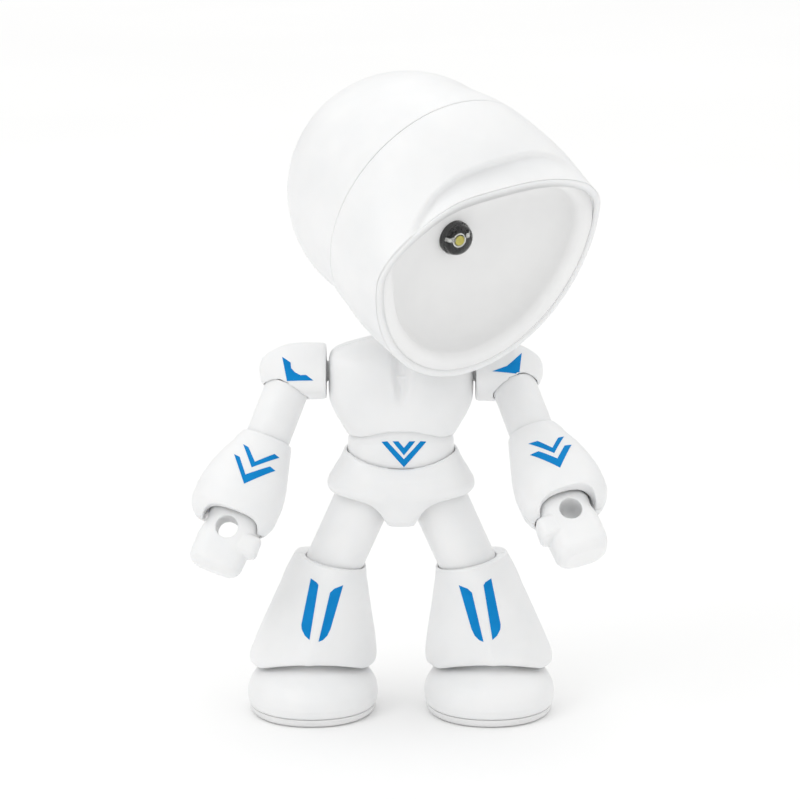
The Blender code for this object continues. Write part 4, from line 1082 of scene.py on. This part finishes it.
def printed(name, shape, at, onto, body):
    """A thin film of ink over a piece's front, in an outline given across and up in a frame."""
    bm = bmesh.new()
    bm.faces.new([bm.verts.new((x, 0.0, z)) for x, z in shape])
    low, high = np.min(shape, axis=0), np.max(shape, axis=0)
    for k, normal in ((0, (1.0, 0.0, 0.0)), (1, (0.0, 0.0, 1.0))):
        for cut_at in np.arange(low[k] + 0.3, high[k], 0.3):
            parts = bm.verts[:] + bm.edges[:] + bm.faces[:]
            bmesh.ops.bisect_plane(bm, geom=parts, plane_co=Vector(normal) * cut_at, plane_no=normal)
    target = bmesh.new()
    target.from_mesh(onto.data)
    tree = BVHTree.FromBMesh(target)
    away = (at.to_3x3() @ Vector((0.0, -1.0, 0.0))).normalized()
    for vert in bm.verts:
        start = (at @ vert.co + away * 40.0) * MM
        hit, normal, _, _ = tree.ray_cast(start, -away)
        if hit is None:
            raise ValueError(f"{name} runs off its piece at {tuple(vert.co)}")
        vert.co = hit / MM + away * INK_ABOVE
    target.free()
    bmesh.ops.recalc_face_normals(bm, faces=bm.faces)
    mesh = bpy.data.meshes.new(name)
    bm.to_mesh(mesh)
    bm.free()
    if sum(Vector(p.normal).dot(away) for p in mesh.polygons) < 0:
        mesh.flip_normals()
    obj = linked(name, mesh)
    film = obj.modifiers.new("film", "SOLIDIFY")
    film.thickness = INK_THICK
    film.offset = -1.0
    bake(obj)
    finish(obj, name, body, look="ink", crisp=50)


def make_marks():
    pieces = bpy.data.objects
    for word, side in SIDES.items():
        shoulder = axes(ROBOT, (side * CAP_INNER_X, 0.0, SHOULDER_Z), (SHOULDER_MARK_TURN, 0.0, 0.0))
        printed(f"shoulder_print_{word}", SHOULDER_MARKS[word], shoulder, pieces[f"cap_moulding_{word}"],
                f"arm_{word}")
        onto = pieces[f"forearm_front_moulding_{word}"]
        for k, shape in enumerate(FOREARM_MARKS[word], 1):
            printed(f"forearm_print_{word}_{k}", shape, FOREARM[word], onto, f"forearm_{word}")
        onto = pieces[f"shin_front_moulding_{word}"]
        for k, shape in enumerate(SHIN_MARKS, 1):
            mirrored = [(side * x, z) for x, z in shape]
            printed(f"shin_print_{word}_{k}", mirrored, ROBOT, onto, f"shin_{word}")
    for k, shape in enumerate(WAIST_MARKS, 1):
        printed(f"waist_print_{k}", shape, ROBOT, pieces["waist_moulding"], "pelvis")


# ---- what keeps its CAD shape, and the studio ----


def dress_inner_nodes():
    finishes = {
        "led_board": "board", "battery_tray": "black", "cell_1": "cell_can", "cell_2": "cell_can",
        "cell_3": "cell_can", "contact_plate": "steel", "contact_spring": "steel", "power_switch": "black",
        "lead_red": "red_lead", "lead_black": "black", "hip_axle": "steel",
    }
    for node, look in finishes.items():
        for slot in frame["nodes"][node].material_slots:
            slot.material = LOOKS[look]


def lamp(name, place, aim, size, watts):
    data = bpy.data.lights.new(name, "AREA")
    data.shape = "DISK"
    data.size = size
    data.energy = watts
    obj = linked(name, data)
    obj.location = Vector(place)
    obj.rotation_mode = "QUATERNION"
    obj.rotation_quaternion = (Vector(aim) - Vector(place)).to_track_quat("-Z", "Y")


def make_studio():
    """A pale round floor, two wide soft lamps and a surround that brightens towards the zenith."""
    bm = bmesh.new()
    bmesh.ops.create_circle(bm, cap_ends=True, radius=FLOOR_R, segments=96)
    mesh = bpy.data.meshes.new("floor")
    bm.to_mesh(mesh)
    bm.free()
    floor = linked("floor", mesh)
    mesh.materials.append(surface("pale_floor", (0.94, 0.94, 0.94), (0.96, 0.96, 0.96), (0.7, 0.8),
                                  patch=3.0, grain_scale=300.0, grain_strength=0.02))
    bpy.context.scene.view_settings.view_transform = "Standard"
    aim = (0.0, 0.0, 0.05)
    lamp("key", (-0.55, -0.5, 0.7), aim, 0.5, 1.1)
    lamp("fill", (0.75, -0.55, 0.35), aim, 0.7, 0.2)
    world = bpy.data.worlds.new("surround")
    bpy.context.scene.world = world
    world.use_nodes = True
    nodes, links = world.node_tree.nodes, world.node_tree.links
    place = nodes.new("ShaderNodeTexCoord")
    height = nodes.new("ShaderNodeSeparateXYZ")
    sky = nodes.new("ShaderNodeValToRGB")
    sky.color_ramp.elements[0].color = (*HORIZON, 1.0)
    sky.color_ramp.elements[1].color = (*ZENITH, 1.0)
    links.new(place.outputs["Generated"], height.inputs["Vector"])
    links.new(height.outputs["Z"], sky.inputs["Fac"])
    links.new(sky.outputs["Color"], nodes["Background"].inputs["Color"])
    nodes["Background"].inputs["Strength"].default_value = SURROUND_STRENGTH


def make_camera():
    """Straight in front and a little above, far enough away that the figure is hardly foreshortened."""
    target = (MIDDLE + Vector((0.0, 0.0, CAMERA_AIM_Z))) * MM
    rise = math.radians(CAMERA_RISE)
    back = Vector((0.0, -math.cos(rise), math.sin(rise)))
    data = bpy.data.cameras.new("camera")
    data.sensor_width = 36.0
    data.lens = CAMERA_LENS
    data.shift_x = CAMERA_SHIFT
    camera = linked("camera", data)
    camera.location = target + back * CAMERA_DISTANCE
    camera.rotation_mode = "QUATERNION"
    camera.rotation_quaternion = (-back).to_track_quat("-Z", "Y")
    bpy.context.scene.camera = camera


def main():
    make_camera()
    make_studio()
    make_shells()
    make_bowl()
    make_light()
    make_button()
    make_neck()
    make_screw("screw", (0.0, 17.0, DOOR_SCREW_UP), 6.1, 1.4, 0.7, DOME, "head", "battery_cover_screw")
    make_chest()
    make_waist()
    make_pelvis()
    for word, side in SIDES.items():
        make_shoulder(word, side)
        make_forearm(word, side)
        make_hand(word, side)
        make_leg(word, side)
    make_marks()
    dress_inner_nodes()


main()
